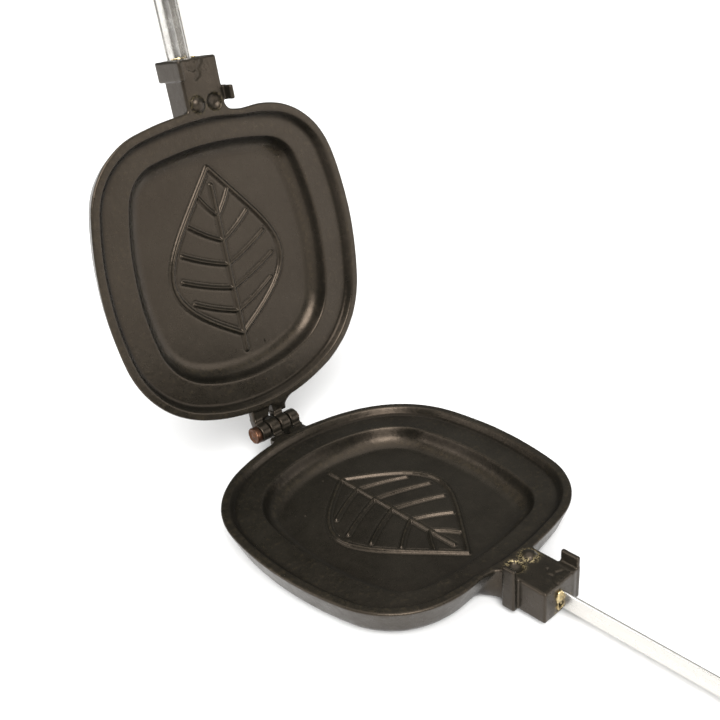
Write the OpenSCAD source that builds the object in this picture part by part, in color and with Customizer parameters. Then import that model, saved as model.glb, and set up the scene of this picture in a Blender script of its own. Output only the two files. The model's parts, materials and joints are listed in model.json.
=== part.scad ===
// Hand-held pie iron: two hinged cast iron halves on long steel angle rods with split wooden grips.
// Each half is drawn lying flat: hinge axis along X through the origin, handle to +Y, mating face at z = 0.
// The whole iron is then turned so that its handle points to -Y and its lower half rests on z = 0, open.

/* [Plates] */
// Width across the plate
plate_width = 114; // [100:1:130]
// Length of the plate, from hinge end to handle end
plate_length = 117.3; // [106:0.1:128]
// Distance from the hinge axis to the plate's hinge end
hinge_reach = 9.2; // [8.8:0.1:13]
// Distance from the hinge end to the plate's widest place
widest_at = 58.7; // [54:0.1:64]
// Depth of one casting below its mating face
casting_depth = 14; // [13.5:0.5:18]
// Radius of the bowed long sides
side_bow = 125; // [105:1:160]
// Radius of the bowed hinge end
hinge_end_bow = 77; // [68:1:90]
// Radius of the bowed handle end
handle_end_bow = 138; // [125:1:220]
// Corner radius at the hinge end
hinge_corner = 41; // [36:0.5:44]
// Corner radius at the handle end
handle_corner = 31.3; // [28:0.1:36]
// How far the outer wall draws in from the rim to the foot
wall_draft = 3; // [1.5:0.1:4]
// Rounding of the foot, where the wall meets the underside
foot_round = 4.6; // [3:0.2:6]
// Gap left between the two mating faces when the iron is shut
parting_gap = 0.3; // [0.2:0.05:0.6]

/* [Hollow] */
// Width of the flat rim round the hollow
rim_width = 3; // [2.4:0.1:4]
// Rounding of the rim's outer edge
rim_round = 0.9; // [0.5:0.1:1.2]
// Depth of the ledge below the rim
ledge_depth = 3; // [2:0.1:4]
// Width of the step down from the rim to the ledge
step_run = 1.6; // [1:0.1:2.4]
// Distance from the plate's side edge to the deep recess
recess_side = 15; // [13:0.5:17]
// Distance from the plate's hinge end to the deep recess
recess_hinge_end = 14; // [12:0.5:17]
// Distance from the plate's handle end to the deep recess
recess_handle_end = 12; // [11:0.5:15]
// Depth of the recess floor below the rim
recess_depth = 9.5; // [8:0.5:10.5]
// Width of the sloped wall of the recess
recess_run = 3.5; // [2.5:0.1:5]

/* [Raised leaf] */
// Length of the raised leaf on each floor
leaf_length = 66; // [50:1:74]
// Width of the raised leaf
leaf_width = 50; // [36:1:58]
// Length of the leaf's stalk
stalk_length = 7; // [4:0.5:9]
// Number of side veins on each half of the leaf
vein_count = 5; // [3:1:7]
// Width of the raised line
line_width = 2; // [1.2:0.1:2.6]
// Height of the raised line above the floor
line_height = 0.9; // [0.5:0.1:1.4]

/* [Hinge] */
// Angle between the two halves when fully open
open_angle = 96; // [90:1:110]
// Outer diameter of the hinge barrel
barrel_diameter = 7.6; // [7.2:0.1:8.4]
// Width of each inner knuckle
inner_knuckle = 4.5; // [4:0.1:5]
// Width of each outer knuckle
outer_knuckle = 4.1; // [3.8:0.1:5]
// Side gap between neighbouring knuckles
knuckle_gap = 0.5; // [0.3:0.05:0.8]
// Diameter of the hinge pin
pin_diameter = 4; // [3:0.1:4.6]
// Radial clearance of the pin in the knuckles
pin_clearance = 0.05; // [0.02:0.01:0.1]
// Diameter of the pin's head
pin_head_diameter = 6.9; // [6:0.1:8]
// Thickness of the pin's head
pin_head_thickness = 2.6; // [1.5:0.1:3.5]
// Diameter of the riveted tail of the pin
pin_tail_diameter = 5.4; // [5.2:0.1:7]
// Thickness of the riveted tail of the pin
pin_tail_thickness = 1; // [0.6:0.1:2]
// Depth of the hinge arms below the mating face
arm_depth = 5.2; // [4.8:0.1:7]
// Width of the notch between the two hinge arms, at the barrel
notch_width = 3.4; // [2.5:0.1:4.2]
// Width of the notch where it points at the plate
notch_point = 0.6; // [0.4:0.1:1.2]
// How far the arm spreads past the inner knuckle, where it clears the barrel
arm_spread = 2.7; // [2.4:0.1:4]
// Radius of the curve by which the spread arm widens into the plate
arm_curve = 3.5; // [2:0.1:4]
// Clearance between the barrel and the other half's arms
barrel_clearance = 0.45; // [0.35:0.05:0.7]
// Gap left at the opening stop
stop_gap = 0.3; // [0.25:0.05:0.5]
// Length of the stop lug behind the barrel
stop_length = 5.5; // [5:0.1:6.5]

/* [Handle block] */
// Width of the block that holds the rod
block_width = 15.8; // [14:0.1:20]
// Length of the block beyond the plate
block_length = 17; // [15:0.5:24]
// Depth of the block below the mating face
block_depth = 12.3; // [11.9:0.1:13]
// Depth of the rod's socket in the block
socket_depth = 20; // [14:0.5:22]
// Length of the outer guide ear, at the block's end
outer_ear_length = 6.8; // [4:0.1:8]
// Length of the inner guide ear, beside the plate
inner_ear_length = 5; // [4:0.1:5.5]
// Distance from the plate's handle end to the inner guide ear
inner_ear_at = 1.5; // [0.8:0.1:1.8]
// Thickness of the guide ears
ear_thickness = 1.8; // [1.5:0.1:3]
// Height of the guide ears above the mating face
ear_rise = 3.8; // [2.5:0.1:6]
// Side clearance of the guide ears to the other block
ear_clearance = 0.35; // [0.3:0.05:0.6]
// Size of the fillet between the neck and the plate, on the inner ear's side
neck_fillet = 2; // [1:0.5:3]
// Distance from the plate's handle end to the locating dome
dome_at = 1.7; // [1:0.1:3]
// Distance of the locating dome and its cup from the centre line
dome_offset = 3.5; // [3.4:0.1:4]
// Radius of the locating dome
dome_radius = 3.2; // [2.8:0.1:3.4]
// Height of the locating dome
dome_height = 1.6; // [1:0.1:1.8]
// Clearance of the dome in its cup
dome_clearance = 0.4; // [0.3:0.05:0.5]

/* [Rods] */
// Width of the angle rod
rod_width = 6.2; // [5:0.1:6.4]
// Depth of the angle rod
rod_depth = 6.8; // [6:0.1:7]
// Thickness of the folded steel
rod_wall = 1.2; // [0.8:0.1:1.4]
// Distance from the mating face to the open edges of the rod
rod_inset = 3.5; // [3.2:0.1:3.6]
// How far the rod sits off the block's centre line, toward the outer ear
rod_offset = 1.5; // [0.5:0.1:1.6]
// Gap between the rod and its socket
socket_clearance = 0.1; // [0.05:0.05:0.2]
// Distance from the hinge axis to the end of the grips
handle_reach = 702; // [500:1:760]
// Length of the braze bead along the rod
braze_length = 1.6; // [1:0.1:3]
// Width of the braze bead round the rod
braze_width = 1.5; // [0.8:0.1:2]

/* [Grips] */
// Length of each wooden grip
grip_length = 125; // [110:1:150]
// Radius of the grip at its front end
grip_front_radius = 12.5; // [12.4:0.1:12.8]
// Radius of the grip where it is fullest
grip_full_radius = 13.4; // [12.8:0.1:13.4]
// Radius of the grip at its waist before the end
grip_waist_radius = 12.6; // [12.2:0.1:12.8]
// Rounding of the grip's far end
grip_end_round = 9; // [8.5:0.1:9.4]
// Wood left between the end of the rod and the end of the grip
grip_end_wood = 25; // [22:1:35]
// Diameter of the cross rivets
rivet_diameter = 3.2; // [2.5:0.1:4]
// Diameter of the rivet heads
rivet_head_diameter = 6; // [5:0.1:7]
// Thickness of the rivet heads
rivet_head_thickness = 1.1; // [0.8:0.1:1.6]
// Distance of the first rivet from the grip's front end
rivet_front = 20; // [15:1:25]
// Spacing of the two rivets
rivet_spacing = 50; // [40:1:60]
// How deep the rivet heads sit in the wood
rivet_sink = 0.7; // [0.5:0.1:0.9]

/* [Latch] */
// Diameter of the latch wire
wire_diameter = 2.5; // [2:0.1:2.8]
// Distance from the grip's end to the latch pivot
latch_from_end = 10; // [9.5:0.1:11]
// Depth of the latch pivot below the mating face
latch_pivot_depth = 6.5; // [6:0.1:7]
// Depth of the latch wire's ends in the wood
latch_engagement = 6; // [4:0.5:7]
// Radial clearance of the wire in its hole
latch_clearance = 0.1; // [0.05:0.01:0.1]
// Gap between the latch and the grips it clasps
latch_gap = 0.4; // [0.3:0.05:0.8]

/* [Hidden] */
$fn = 64;
arc_steps = 7;
face_z = -parting_gap / 2;
half_width = plate_width / 2;
hinge_end_y = hinge_reach;
handle_end_y = hinge_reach + plate_length;
widest_y = hinge_reach + widest_at;
block_end_y = handle_end_y + block_length;
rod_mid_z = -(rod_inset + rod_depth / 2);
rod_start_y = block_end_y - socket_depth;
grip_start_y = handle_reach - grip_length;
rod_end_y = handle_reach - grip_end_wood;
latch_y = handle_reach - latch_from_end;
leg_x = grip_full_radius + latch_gap + wire_diameter / 2;
latch_length = grip_full_radius + latch_pivot_depth + latch_gap + wire_diameter / 2;
latch_rest_rise = grip_full_radius + latch_gap + wire_diameter / 2 - latch_pivot_depth;
latch_rest_angle = asin(latch_rest_rise / latch_length);
seat_y = (hinge_end_y + handle_end_y) / 2;

// Centre of the corner arc that touches the side arc and the end arc from inside
function corner_center(side_c, side_r, end_c, end_r) =
    let (
        d = norm(end_c - side_c),
        along = (d * d + side_r * side_r - end_r * end_r) / (2 * d),
        off = sqrt(max(0, side_r * side_r - along * along)),
        e = (end_c - side_c) / d,
        p = side_c + along * e + off * [-e.y, e.x],
        q = side_c + along * e - off * [-e.y, e.x]
    )
    p.x + p.y > q.x + q.y ? p : q;

function arc_points(c, r, from, to) =
    [for (i = [0 : arc_steps]) let (t = from + (to - from) * i / arc_steps) c + r * [cos(t), sin(t)]];

// Quarter of the plate's outline, from the middle of a long side to the middle of an end
function quarter(half_w, reach, side_r, end_r, corner_r) =
    let (
        side_c = [half_w - side_r, 0],
        end_c = [0, reach - end_r],
        c = corner_center(side_c, side_r - corner_r, end_c, end_r - corner_r),
        t0 = atan2(c.y - side_c.y, c.x - side_c.x),
        t1 = atan2(c.y - end_c.y, c.x - end_c.x),
        corner = arc_points(c, corner_r, t0, t1),
        end = arc_points(end_c, end_r, t1, 90)
    )
    concat(
        arc_points(side_c, side_r, 0, t0),
        [for (i = [1 : arc_steps]) corner[i]],
        [for (i = [1 : arc_steps]) end[i]]
    );

// Whole outline, drawn in by its own amount at the sides, the hinge end and the handle end
function outline(side_in, hinge_in, handle_in) =
    let (
        far = quarter(half_width - side_in, handle_end_y - widest_y - handle_in,
            side_bow - side_in, handle_end_bow - handle_in, handle_corner - side_in),
        near = quarter(half_width - side_in, widest_y - hinge_end_y - hinge_in,
            side_bow - side_in, hinge_end_bow - hinge_in, hinge_corner - side_in),
        n = len(far) - 1
    )
    concat(
        [for (i = [0 : n]) [far[i].x, widest_y + far[i].y]],
        [for (i = [1 : n]) [-far[n - i].x, widest_y + far[n - i].y]],
        [for (i = [1 : n]) [-near[i].x, widest_y - near[i].y]],
        [for (i = [1 : n - 1]) [near[n - i].x, widest_y - near[n - i].y]]
    );

// Section of the plate as rings: side inset, hinge end inset, handle end inset, height
ledge_side = rim_width + step_run;
round_steps = 4;
foot_rings = [for (i = [0 : round_steps]) let (t = 90 * i / round_steps)
    [wall_draft + foot_round * (1 - sin(t)), foot_round * (1 - cos(t)) - casting_depth]];
rim_rings = [for (i = [0 : round_steps]) let (t = 90 * i / round_steps)
    [rim_round * (1 - cos(t)), -rim_round * (1 - sin(t))]];
// A soft wall from one height to the next: shares of its run across and of its drop down
step_shares = [[0, 0], [0.25, 0.12], [0.75, 0.88], [1, 1]];
recess_shares = [[-0.2, 0], [0.12, 0.08], [0.3, 0.28], [0.8, 0.86], [1.05, 0.97], [1.5, 1]];
step_rings = [for (q = step_shares) [rim_width + step_run * q[0], -ledge_depth * q[1]]];
wall_drop = recess_depth - ledge_depth;
rings = concat(
    [for (r = concat(foot_rings, rim_rings, step_rings)) [r[0], r[0], r[0], face_z + r[1]]],
    [for (q = recess_shares) let (inset = recess_run * q[0])
        [recess_side + inset, recess_hinge_end + inset, recess_handle_end + inset,
            face_z - ledge_depth - wall_drop * q[1]]]
);

module plate_body() {
    loops = [for (r = rings) [for (p = outline(r[0], r[1], r[2])) [p.x, p.y, r[3]]]];
    n = len(loops[0]);
    m = len(loops);
    sides = [for (j = [0 : m - 2]) for (i = [0 : n - 1])
        each [[j * n + i, (j + 1) * n + i, (j + 1) * n + (i + 1) % n],
            [j * n + i, (j + 1) * n + (i + 1) % n, j * n + (i + 1) % n]]];
    bottom = [for (i = [0 : n - 1]) i];
    floor_cap = [for (i = [0 : n - 1]) (m - 1) * n + (n - 1 - i)];
    polyhedron(points = [for (l = loops) each l], faces = concat([bottom, floor_cap], sides), convexity = 8);
}

// Closed outline of a line of the given width along a path
function side_of(path, i, w) =
    let (
        a = path[max(0, i - 1)],
        b = path[min(len(path) - 1, i + 1)],
        d = (b - a) / norm(b - a)
    )
    path[i] + w / 2 * [-d.y, d.x];
function stroke(path, w) = concat(
    [for (i = [0 : len(path) - 1]) side_of(path, i, w)],
    [for (i = [len(path) - 1 : -1 : 0]) side_of(path, i, -w)]
);

leaf_mid_y = (hinge_end_y + recess_hinge_end + handle_end_y - recess_handle_end) / 2;
leaf_base_y = leaf_mid_y - (leaf_length - stalk_length) / 2;
// How much fuller the leaf is toward its stalk, and how far a vein climbs, as shares of the leaf
leaf_fullness = 0.28;
vein_climb = 0.13;
vein_reach = 0.84;
vein_bend = 0.3;
vein_top = 0.9;
function leaf_half(t) =
    leaf_width / 2 * sin(180 * t) * (1 + leaf_fullness * cos(180 * t))
    / (1 + leaf_fullness * leaf_fullness / 2);

// Two bowed edges, a midrib with its stalk, and side veins that curve toward the tip
module raised_leaf() {
    steps = 22;
    vein_steps = 5;
    vein_width = 0.8 * line_width;
    edge = [for (i = [0 : steps]) let (t = i / steps) [leaf_half(t), leaf_base_y + leaf_length * t]];
    line_bottom = face_z - recess_depth - 1;
    translate([0, 0, line_bottom]) linear_extrude(line_height + 1) {
        for (side = [-1, 1]) {
            polygon(stroke([for (p = edge) [side * p.x, p.y]], line_width));
            for (k = [1 : vein_count]) {
                start = vein_top * k / (vein_count + 1.2);
                reach = vein_reach * leaf_half(start + vein_climb);
                vein = [for (i = [0 : vein_steps]) let (s = i / vein_steps)
                    [side * reach * s,
                        leaf_base_y + leaf_length * (start + vein_climb * s * (1 - vein_bend * (1 - s)))]];
                polygon(stroke(vein, vein_width));
            }
        }
        midrib = [[0, leaf_base_y - stalk_length], [0, leaf_base_y + leaf_length * vein_top]];
        polygon(stroke(midrib, line_width));
    }
}

barrel_r = barrel_diameter / 2;
// Gap between the barrel's ends and the pin's head and tail
pin_play = 0.2;
inner_from = knuckle_gap / 2;
inner_to = inner_from + inner_knuckle;
outer_from = inner_to + knuckle_gap;
outer_to = outer_from + outer_knuckle;
arm_y = barrel_r + barrel_clearance;
arm_end_y = hinge_end_y + rim_width;
// Iron left between the point of the notch and the plate
notch_iron = 0.3;
// Where the stop lug starts, as a share of the barrel's radius
lug_from = 0.4;

// One knuckle with the root that joins it to its arm
module knuckle(from, to) {
    disc(barrel_diameter, from, to);
    translate([from, 0, 0]) rotate([90, 0, 90]) linear_extrude(to - from)
        polygon([[0, -barrel_r], [arm_y + 1, -arm_depth], [arm_y + 1, face_z], [0, face_z]]);
}

// Arms as one web with a pointed notch, seen from above
module arm_web() {
    side_x = inner_to + arm_spread;
    curve_y = hinge_end_y + 0.3 * arm_curve - arm_curve;
    curve = [for (i = [0 : arc_steps]) let (t = 90 * i / arc_steps)
        [side_x + arm_curve * (1 - cos(t)), curve_y + arm_curve * sin(t)]];
    notch_top = hinge_end_y - notch_iron;
    translate([0, 0, -arm_depth]) linear_extrude(arm_depth + face_z) difference() {
        polygon(concat(
            [[-outer_to, arm_end_y], [-outer_to, arm_y], [side_x, arm_y]],
            curve,
            [[side_x + arm_curve, arm_end_y]]
        ));
        polygon([
            [-notch_width / 2, arm_y - 1], [notch_width / 2, arm_y - 1],
            [notch_point / 2, notch_top], [-notch_point / 2, notch_top]
        ]);
    }
}

// Lug behind the inner knuckle that meets the other half's arm at the full opening
module stop_lug() {
    from_y = barrel_r * lug_from;
    rotate([open_angle, 0, 0]) translate([inner_from, from_y, 0])
        cube([inner_knuckle, arm_y - stop_gap - from_y, stop_length]);
}

// Plain block from one height to another, given by its edges in X and Y
module slab(x_from, x_to, y_from, y_to, z_from, z_to) {
    translate([x_from, y_from, z_from]) cube([x_to - x_from, y_to - y_from, z_to - z_from]);
}

// Guide ear on one side of the block, outside the path of the other block, with the root that carries it
module ear(side, from_y, length) {
    inner_x = block_width / 2 + ear_clearance;
    outer_x = inner_x + ear_thickness;
    to_y = from_y + length;
    mirror([side < 0 ? 1 : 0, 0, 0]) {
        slab(inner_x, outer_x, from_y, to_y, -block_depth, ear_rise);
        slab(block_width / 2 - 1, inner_x + 1, from_y, to_y, -block_depth, face_z);
    }
}

// The neck's fillet is the corner between two straight sides, hollowed by a round cutter
module neck_corner() {
    far_x = block_width / 2 + neck_fillet;
    far_y = handle_end_y + neck_fillet;
    difference() {
        slab(0, far_x, handle_end_y - rim_width, far_y, -block_depth, face_z);
        translate([far_x, far_y, -block_depth - 1]) cylinder(r = neck_fillet, h = block_depth + 2);
    }
}

module locating_dome() {
    intersection() {
        translate([-dome_offset, handle_end_y + dome_at, dome_center_z]) sphere(r = dome_radius);
        slab(-dome_offset - dome_radius, 0, handle_end_y, block_end_y, -dome_radius, dome_radius);
    }
}

module block() {
    root_y = handle_end_y - rim_width;
    slab(-block_width / 2, block_width / 2, root_y, block_end_y, -block_depth, face_z);
    ear(-1, block_end_y - outer_ear_length, outer_ear_length);
    ear(1, handle_end_y + inner_ear_at, inner_ear_length);
    neck_corner();
    locating_dome();
}
dome_center_z = dome_height - dome_radius;

// Section of the folded rod: one tall wall on a base, grown all round by a clearance
module rod_profile(clear) {
    base_x = -rod_offset - rod_width / 2 - clear;
    outer_x = -rod_offset + rod_width / 2 + clear;
    inner_x = -rod_offset + rod_width / 2 - rod_wall - clear;
    bottom_z = -rod_inset - rod_depth - clear;
    floor_z = -rod_inset - rod_depth + rod_wall + clear;
    top_z = -rod_inset + clear;
    polygon([
        [base_x, bottom_z], [outer_x, bottom_z], [outer_x, top_z],
        [inner_x, top_z], [inner_x, floor_z], [base_x, floor_z]
    ]);
}

// Lays a profile drawn in X and Z along Y, from one distance to another
module along_y(from, to) {
    translate([0, to, 0]) rotate([90, 0, 0]) linear_extrude(to - from) children();
}

module casting() {
    difference() {
        union() {
            plate_body();
            raised_leaf();
            knuckle(inner_from, inner_to);
            knuckle(-outer_to, -outer_from);
            arm_web();
            stop_lug();
            block();
        }
        disc(pin_diameter + 2 * pin_clearance, -outer_to - 1, outer_to + 1);
        translate([dome_offset, handle_end_y + dome_at, -dome_center_z])
            sphere(r = dome_radius + dome_clearance);
        along_y(rod_start_y - socket_clearance, block_end_y + 1) rod_profile(socket_clearance);
    }
}

module rod() {
    difference() {
        along_y(rod_start_y, rod_end_y) rod_profile(0);
        for (y = rivet_y) cross_bore(y, rivet_diameter / 2 + rivet_fit, rod_width);
    }
}

module braze() {
    along_y(block_end_y, block_end_y + braze_length) difference() {
        rod_profile(braze_width);
        rod_profile(0);
    }
}

// Radius of the turned grip at a distance from its front end: it swells to the
// middle, draws in to the waist and swells again to the end
full_from = 0.45;
waist_at = 0.72;
full_again = 0.88;
front_round = 0.8;
function blend(a, b, t) = a + (b - a) * (1 - cos(180 * max(0, min(1, t)))) / 2;
function grip_radius(y) =
    let (s = y / (grip_length - grip_end_round))
    s < full_from ? blend(grip_front_radius, grip_full_radius, s / full_from)
    : s < waist_at ? blend(grip_full_radius, grip_waist_radius, (s - full_from) / (waist_at - full_from))
    : blend(grip_waist_radius, grip_full_radius, (s - waist_at) / (full_again - waist_at));

module grip() {
    end_y = grip_length - grip_end_round;
    swell = [for (i = [0 : 12]) let (y = front_round + (end_y - front_round) * i / 12) [grip_radius(y), y]];
    nose = [for (i = [1 : 5]) let (t = 90 * i / 5)
        [grip_full_radius - grip_end_round * (1 - cos(t)), end_y + grip_end_round * sin(t)]];
    front = [[0, 0], [grip_front_radius - front_round, 0]];
    cut = 2 * grip_full_radius;
    difference() {
        intersection() {
            translate([0, grip_start_y, 0]) rotate([-90, 0, 0]) rotate_extrude()
                polygon(concat(front, swell, nose, [[0, grip_length]]));
            translate([-cut, grip_start_y - 1, face_z - cut]) cube([2 * cut, grip_length + 2, cut]);
        }
        along_y(grip_start_y - 1, rod_end_y + socket_clearance) rod_profile(socket_clearance);
        rivet_holes();
    }
}

rivet_y = [grip_start_y + rivet_front, grip_start_y + rivet_front + rivet_spacing];
rivet_fit = 0.05;
// Turns the seam of the round rivet seats away from the grip's own edges
seam_turn = 37;
// Half width of the wood at the rivets' height, less the depth that their heads are sunk
function rivet_seat(y) = sqrt(pow(grip_radius(y - grip_start_y), 2) - pow(rod_mid_z, 2)) - rivet_sink;

module cross_bore(y, r, half) {
    translate([-half, y, rod_mid_z]) rotate([0, 90, 0]) cylinder(r = r, h = 2 * half);
}

module rivet_holes() {
    head_bore = rivet_head_diameter / 2 + rivet_fit;
    for (y = rivet_y) {
        cross_bore(y, rivet_diameter / 2 + rivet_fit, 2 * grip_full_radius);
        for (side = [-1, 1])
            translate([side * (rivet_seat(y) + grip_full_radius), y, rod_mid_z])
                rotate([0, 90, 0]) rotate([0, 0, seam_turn])
                    cylinder(r = head_bore, h = 2 * grip_full_radius, center = true);
    }
}

module rivets() {
    for (y = rivet_y) {
        cross_bore(y, rivet_diameter / 2, rivet_seat(y) + rivet_head_thickness / 2);
        for (side = [-1, 1])
            translate([side * (rivet_seat(y) + rivet_head_thickness / 2), y, rod_mid_z]) rotate([0, 90, 0])
                cylinder(r = rivet_head_diameter / 2, h = rivet_head_thickness, center = true);
    }
}

module latch_hole() {
    translate([-leg_x, latch_y, -latch_pivot_depth]) rotate([0, 90, 0])
        cylinder(r = wire_diameter / 2 + latch_clearance, h = 2 * leg_x);
}

// Wire bail in its own frame: pivot along X through the origin, loop toward -Y
module bail() {
    r = wire_diameter / 2;
    bend = 2 * wire_diameter;
    tip_x = leg_x - bend;
    for (side = [-1, 1]) mirror([side < 0 ? 1 : 0, 0, 0]) {
        // Straight end in the wood
        inner_x = grip_pivot_half - latch_engagement;
        translate([inner_x, 0, 0]) rotate([0, 90, 0]) cylinder(r = r, h = leg_x - r - inner_x);
        translate([leg_x - r, 0, 0]) rotate([0, 90, 0]) cylinder(r = r, h = r);
        translate([leg_x, 0, 0]) sphere(r = r);
        rotate([90, 0, 0]) translate([leg_x, 0, 0]) cylinder(r = r, h = latch_length - bend);
        translate([tip_x, -latch_length + bend, 0]) rotate([0, 0, -90]) rotate_extrude(angle = 90)
            translate([bend, 0]) circle(r = r);
    }
    translate([-tip_x, -latch_length, 0]) rotate([0, 90, 0]) cylinder(r = r, h = 2 * tip_x);
}
grip_pivot_half = sqrt(grip_waist_radius * grip_waist_radius - latch_pivot_depth * latch_pivot_depth);

// Round bar along the hinge axis, from one place to another
module disc(diameter, from, to) {
    translate([from, 0, 0]) rotate([0, 90, 0]) cylinder(r = diameter / 2, h = to - from);
}

module place_lower() {
    translate([0, seat_y, casting_depth - face_z]) rotate([0, 0, 180]) children();
}
module place_upper() {
    place_lower() rotate([open_angle, 0, 0]) rotate([0, 180, 0]) children();
}

module lower_plate() { color([0.20, 0.19, 0.17]) place_lower() casting(); }
module upper_plate() { color([0.22, 0.20, 0.18]) place_upper() casting(); }
module hinge_pin() {
    color([0.62, 0.38, 0.27]) place_lower() {
        disc(pin_diameter, -outer_to - pin_play, outer_to + pin_play);
        disc(pin_head_diameter, outer_to + pin_play, outer_to + pin_play + pin_head_thickness);
        disc(pin_tail_diameter, -outer_to - pin_play - pin_tail_thickness, -outer_to - pin_play);
    }
}
module lower_rod() { color([0.78, 0.78, 0.76]) place_lower() rod(); }
module upper_rod() { color([0.78, 0.78, 0.76]) place_upper() rod(); }
module lower_braze() { color([0.72, 0.62, 0.42]) place_lower() braze(); }
module upper_braze() { color([0.72, 0.62, 0.42]) place_upper() braze(); }
module lower_grip() { color([0.55, 0.36, 0.20]) place_lower() grip(); }
module upper_grip() {
    color([0.55, 0.36, 0.20]) place_upper() difference() {
        grip();
        latch_hole();
    }
}
module lower_grip_rivets() { color([0.70, 0.70, 0.68]) place_lower() rivets(); }
module upper_grip_rivets() { color([0.70, 0.70, 0.68]) place_upper() rivets(); }
module latch_wire() {
    color([0.66, 0.66, 0.64]) place_upper() translate([0, latch_y, -latch_pivot_depth])
        rotate([latch_rest_angle, 0, 0]) bail();
}

lower_plate();
upper_plate();
hinge_pin();
lower_rod();
upper_rod();
lower_braze();
upper_braze();
lower_grip();
upper_grip();
lower_grip_rivets();
upper_grip_rivets();
latch_wire();
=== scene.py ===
"""Looks of a hinged pie iron: two cast halves, hinge pin, angle rods, braze, split wooden grips and wire latch.

Every piece is worked out with its half of the iron lying flat: the hinge axis is X through the origin, the handle
points to +Y and the mating face is up, half the parting gap below the axis. place_lower and place_upper then carry
it to its place in the frame.
"""
import json
import math

import bpy
import numpy as np
from bpy.props import FloatProperty, FloatVectorProperty, IntProperty, PointerProperty
from mathutils import Matrix, Vector


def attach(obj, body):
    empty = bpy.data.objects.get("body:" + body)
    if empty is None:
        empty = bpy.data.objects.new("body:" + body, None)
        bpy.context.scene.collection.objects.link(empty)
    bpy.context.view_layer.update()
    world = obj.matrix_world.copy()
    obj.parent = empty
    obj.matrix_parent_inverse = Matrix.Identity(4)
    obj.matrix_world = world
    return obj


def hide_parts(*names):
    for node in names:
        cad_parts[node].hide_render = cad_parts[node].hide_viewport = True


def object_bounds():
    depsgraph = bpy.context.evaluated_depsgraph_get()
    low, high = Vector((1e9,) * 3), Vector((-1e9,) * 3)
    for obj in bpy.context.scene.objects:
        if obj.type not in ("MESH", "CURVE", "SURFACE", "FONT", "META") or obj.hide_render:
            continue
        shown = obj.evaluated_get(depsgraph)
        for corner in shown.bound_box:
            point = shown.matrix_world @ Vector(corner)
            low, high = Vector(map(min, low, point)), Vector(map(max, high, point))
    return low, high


bl_info = {
    "name": "Pie Iron",
    "version": (1, 0, 0),
    "blender": (4, 5, 0),
    "location": "3D View > Sidebar > Pie Iron",
    "description": "Builds the looks of a cast iron pie iron round its packed frame",
    "category": "Object",
}

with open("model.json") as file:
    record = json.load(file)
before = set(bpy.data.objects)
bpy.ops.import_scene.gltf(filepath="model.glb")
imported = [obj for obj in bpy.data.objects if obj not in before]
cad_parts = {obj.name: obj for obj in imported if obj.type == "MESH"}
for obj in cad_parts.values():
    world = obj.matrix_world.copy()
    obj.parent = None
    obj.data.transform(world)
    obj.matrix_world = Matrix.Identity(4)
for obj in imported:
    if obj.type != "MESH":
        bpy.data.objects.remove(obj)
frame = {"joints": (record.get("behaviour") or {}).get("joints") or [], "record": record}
CAD_BOX = [list(corner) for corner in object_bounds()]
MM = 0.001

# What the frame says: which body carries a node, its material slot, and where the joints turn
BODY_OF = {n: body for body, nodes in frame["record"]["behaviour"]["bodies"].items() for n in nodes}
JOINTS = {joint["name"]: joint for joint in frame["joints"]}
HINGE_AT = np.array(JOINTS["hinge"]["pos_m"], float)
OPEN_ANGLE = math.radians(JOINTS["hinge"]["range_deg"][1])


# Sizes and finishes that a user would change

def size(label, about, millimetres):
    """A length property, given here in millimetres and kept in metres."""
    return FloatProperty(name=label, description=about, default=millimetres * MM, min=0.0, precision=5,
                         unit="LENGTH")


def tint(label, about, color):
    """A colour property, in linear light."""
    return FloatVectorProperty(name=label, description=about, default=color, size=3, min=0.0, max=1.0,
                               subtype="COLOR")


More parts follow.
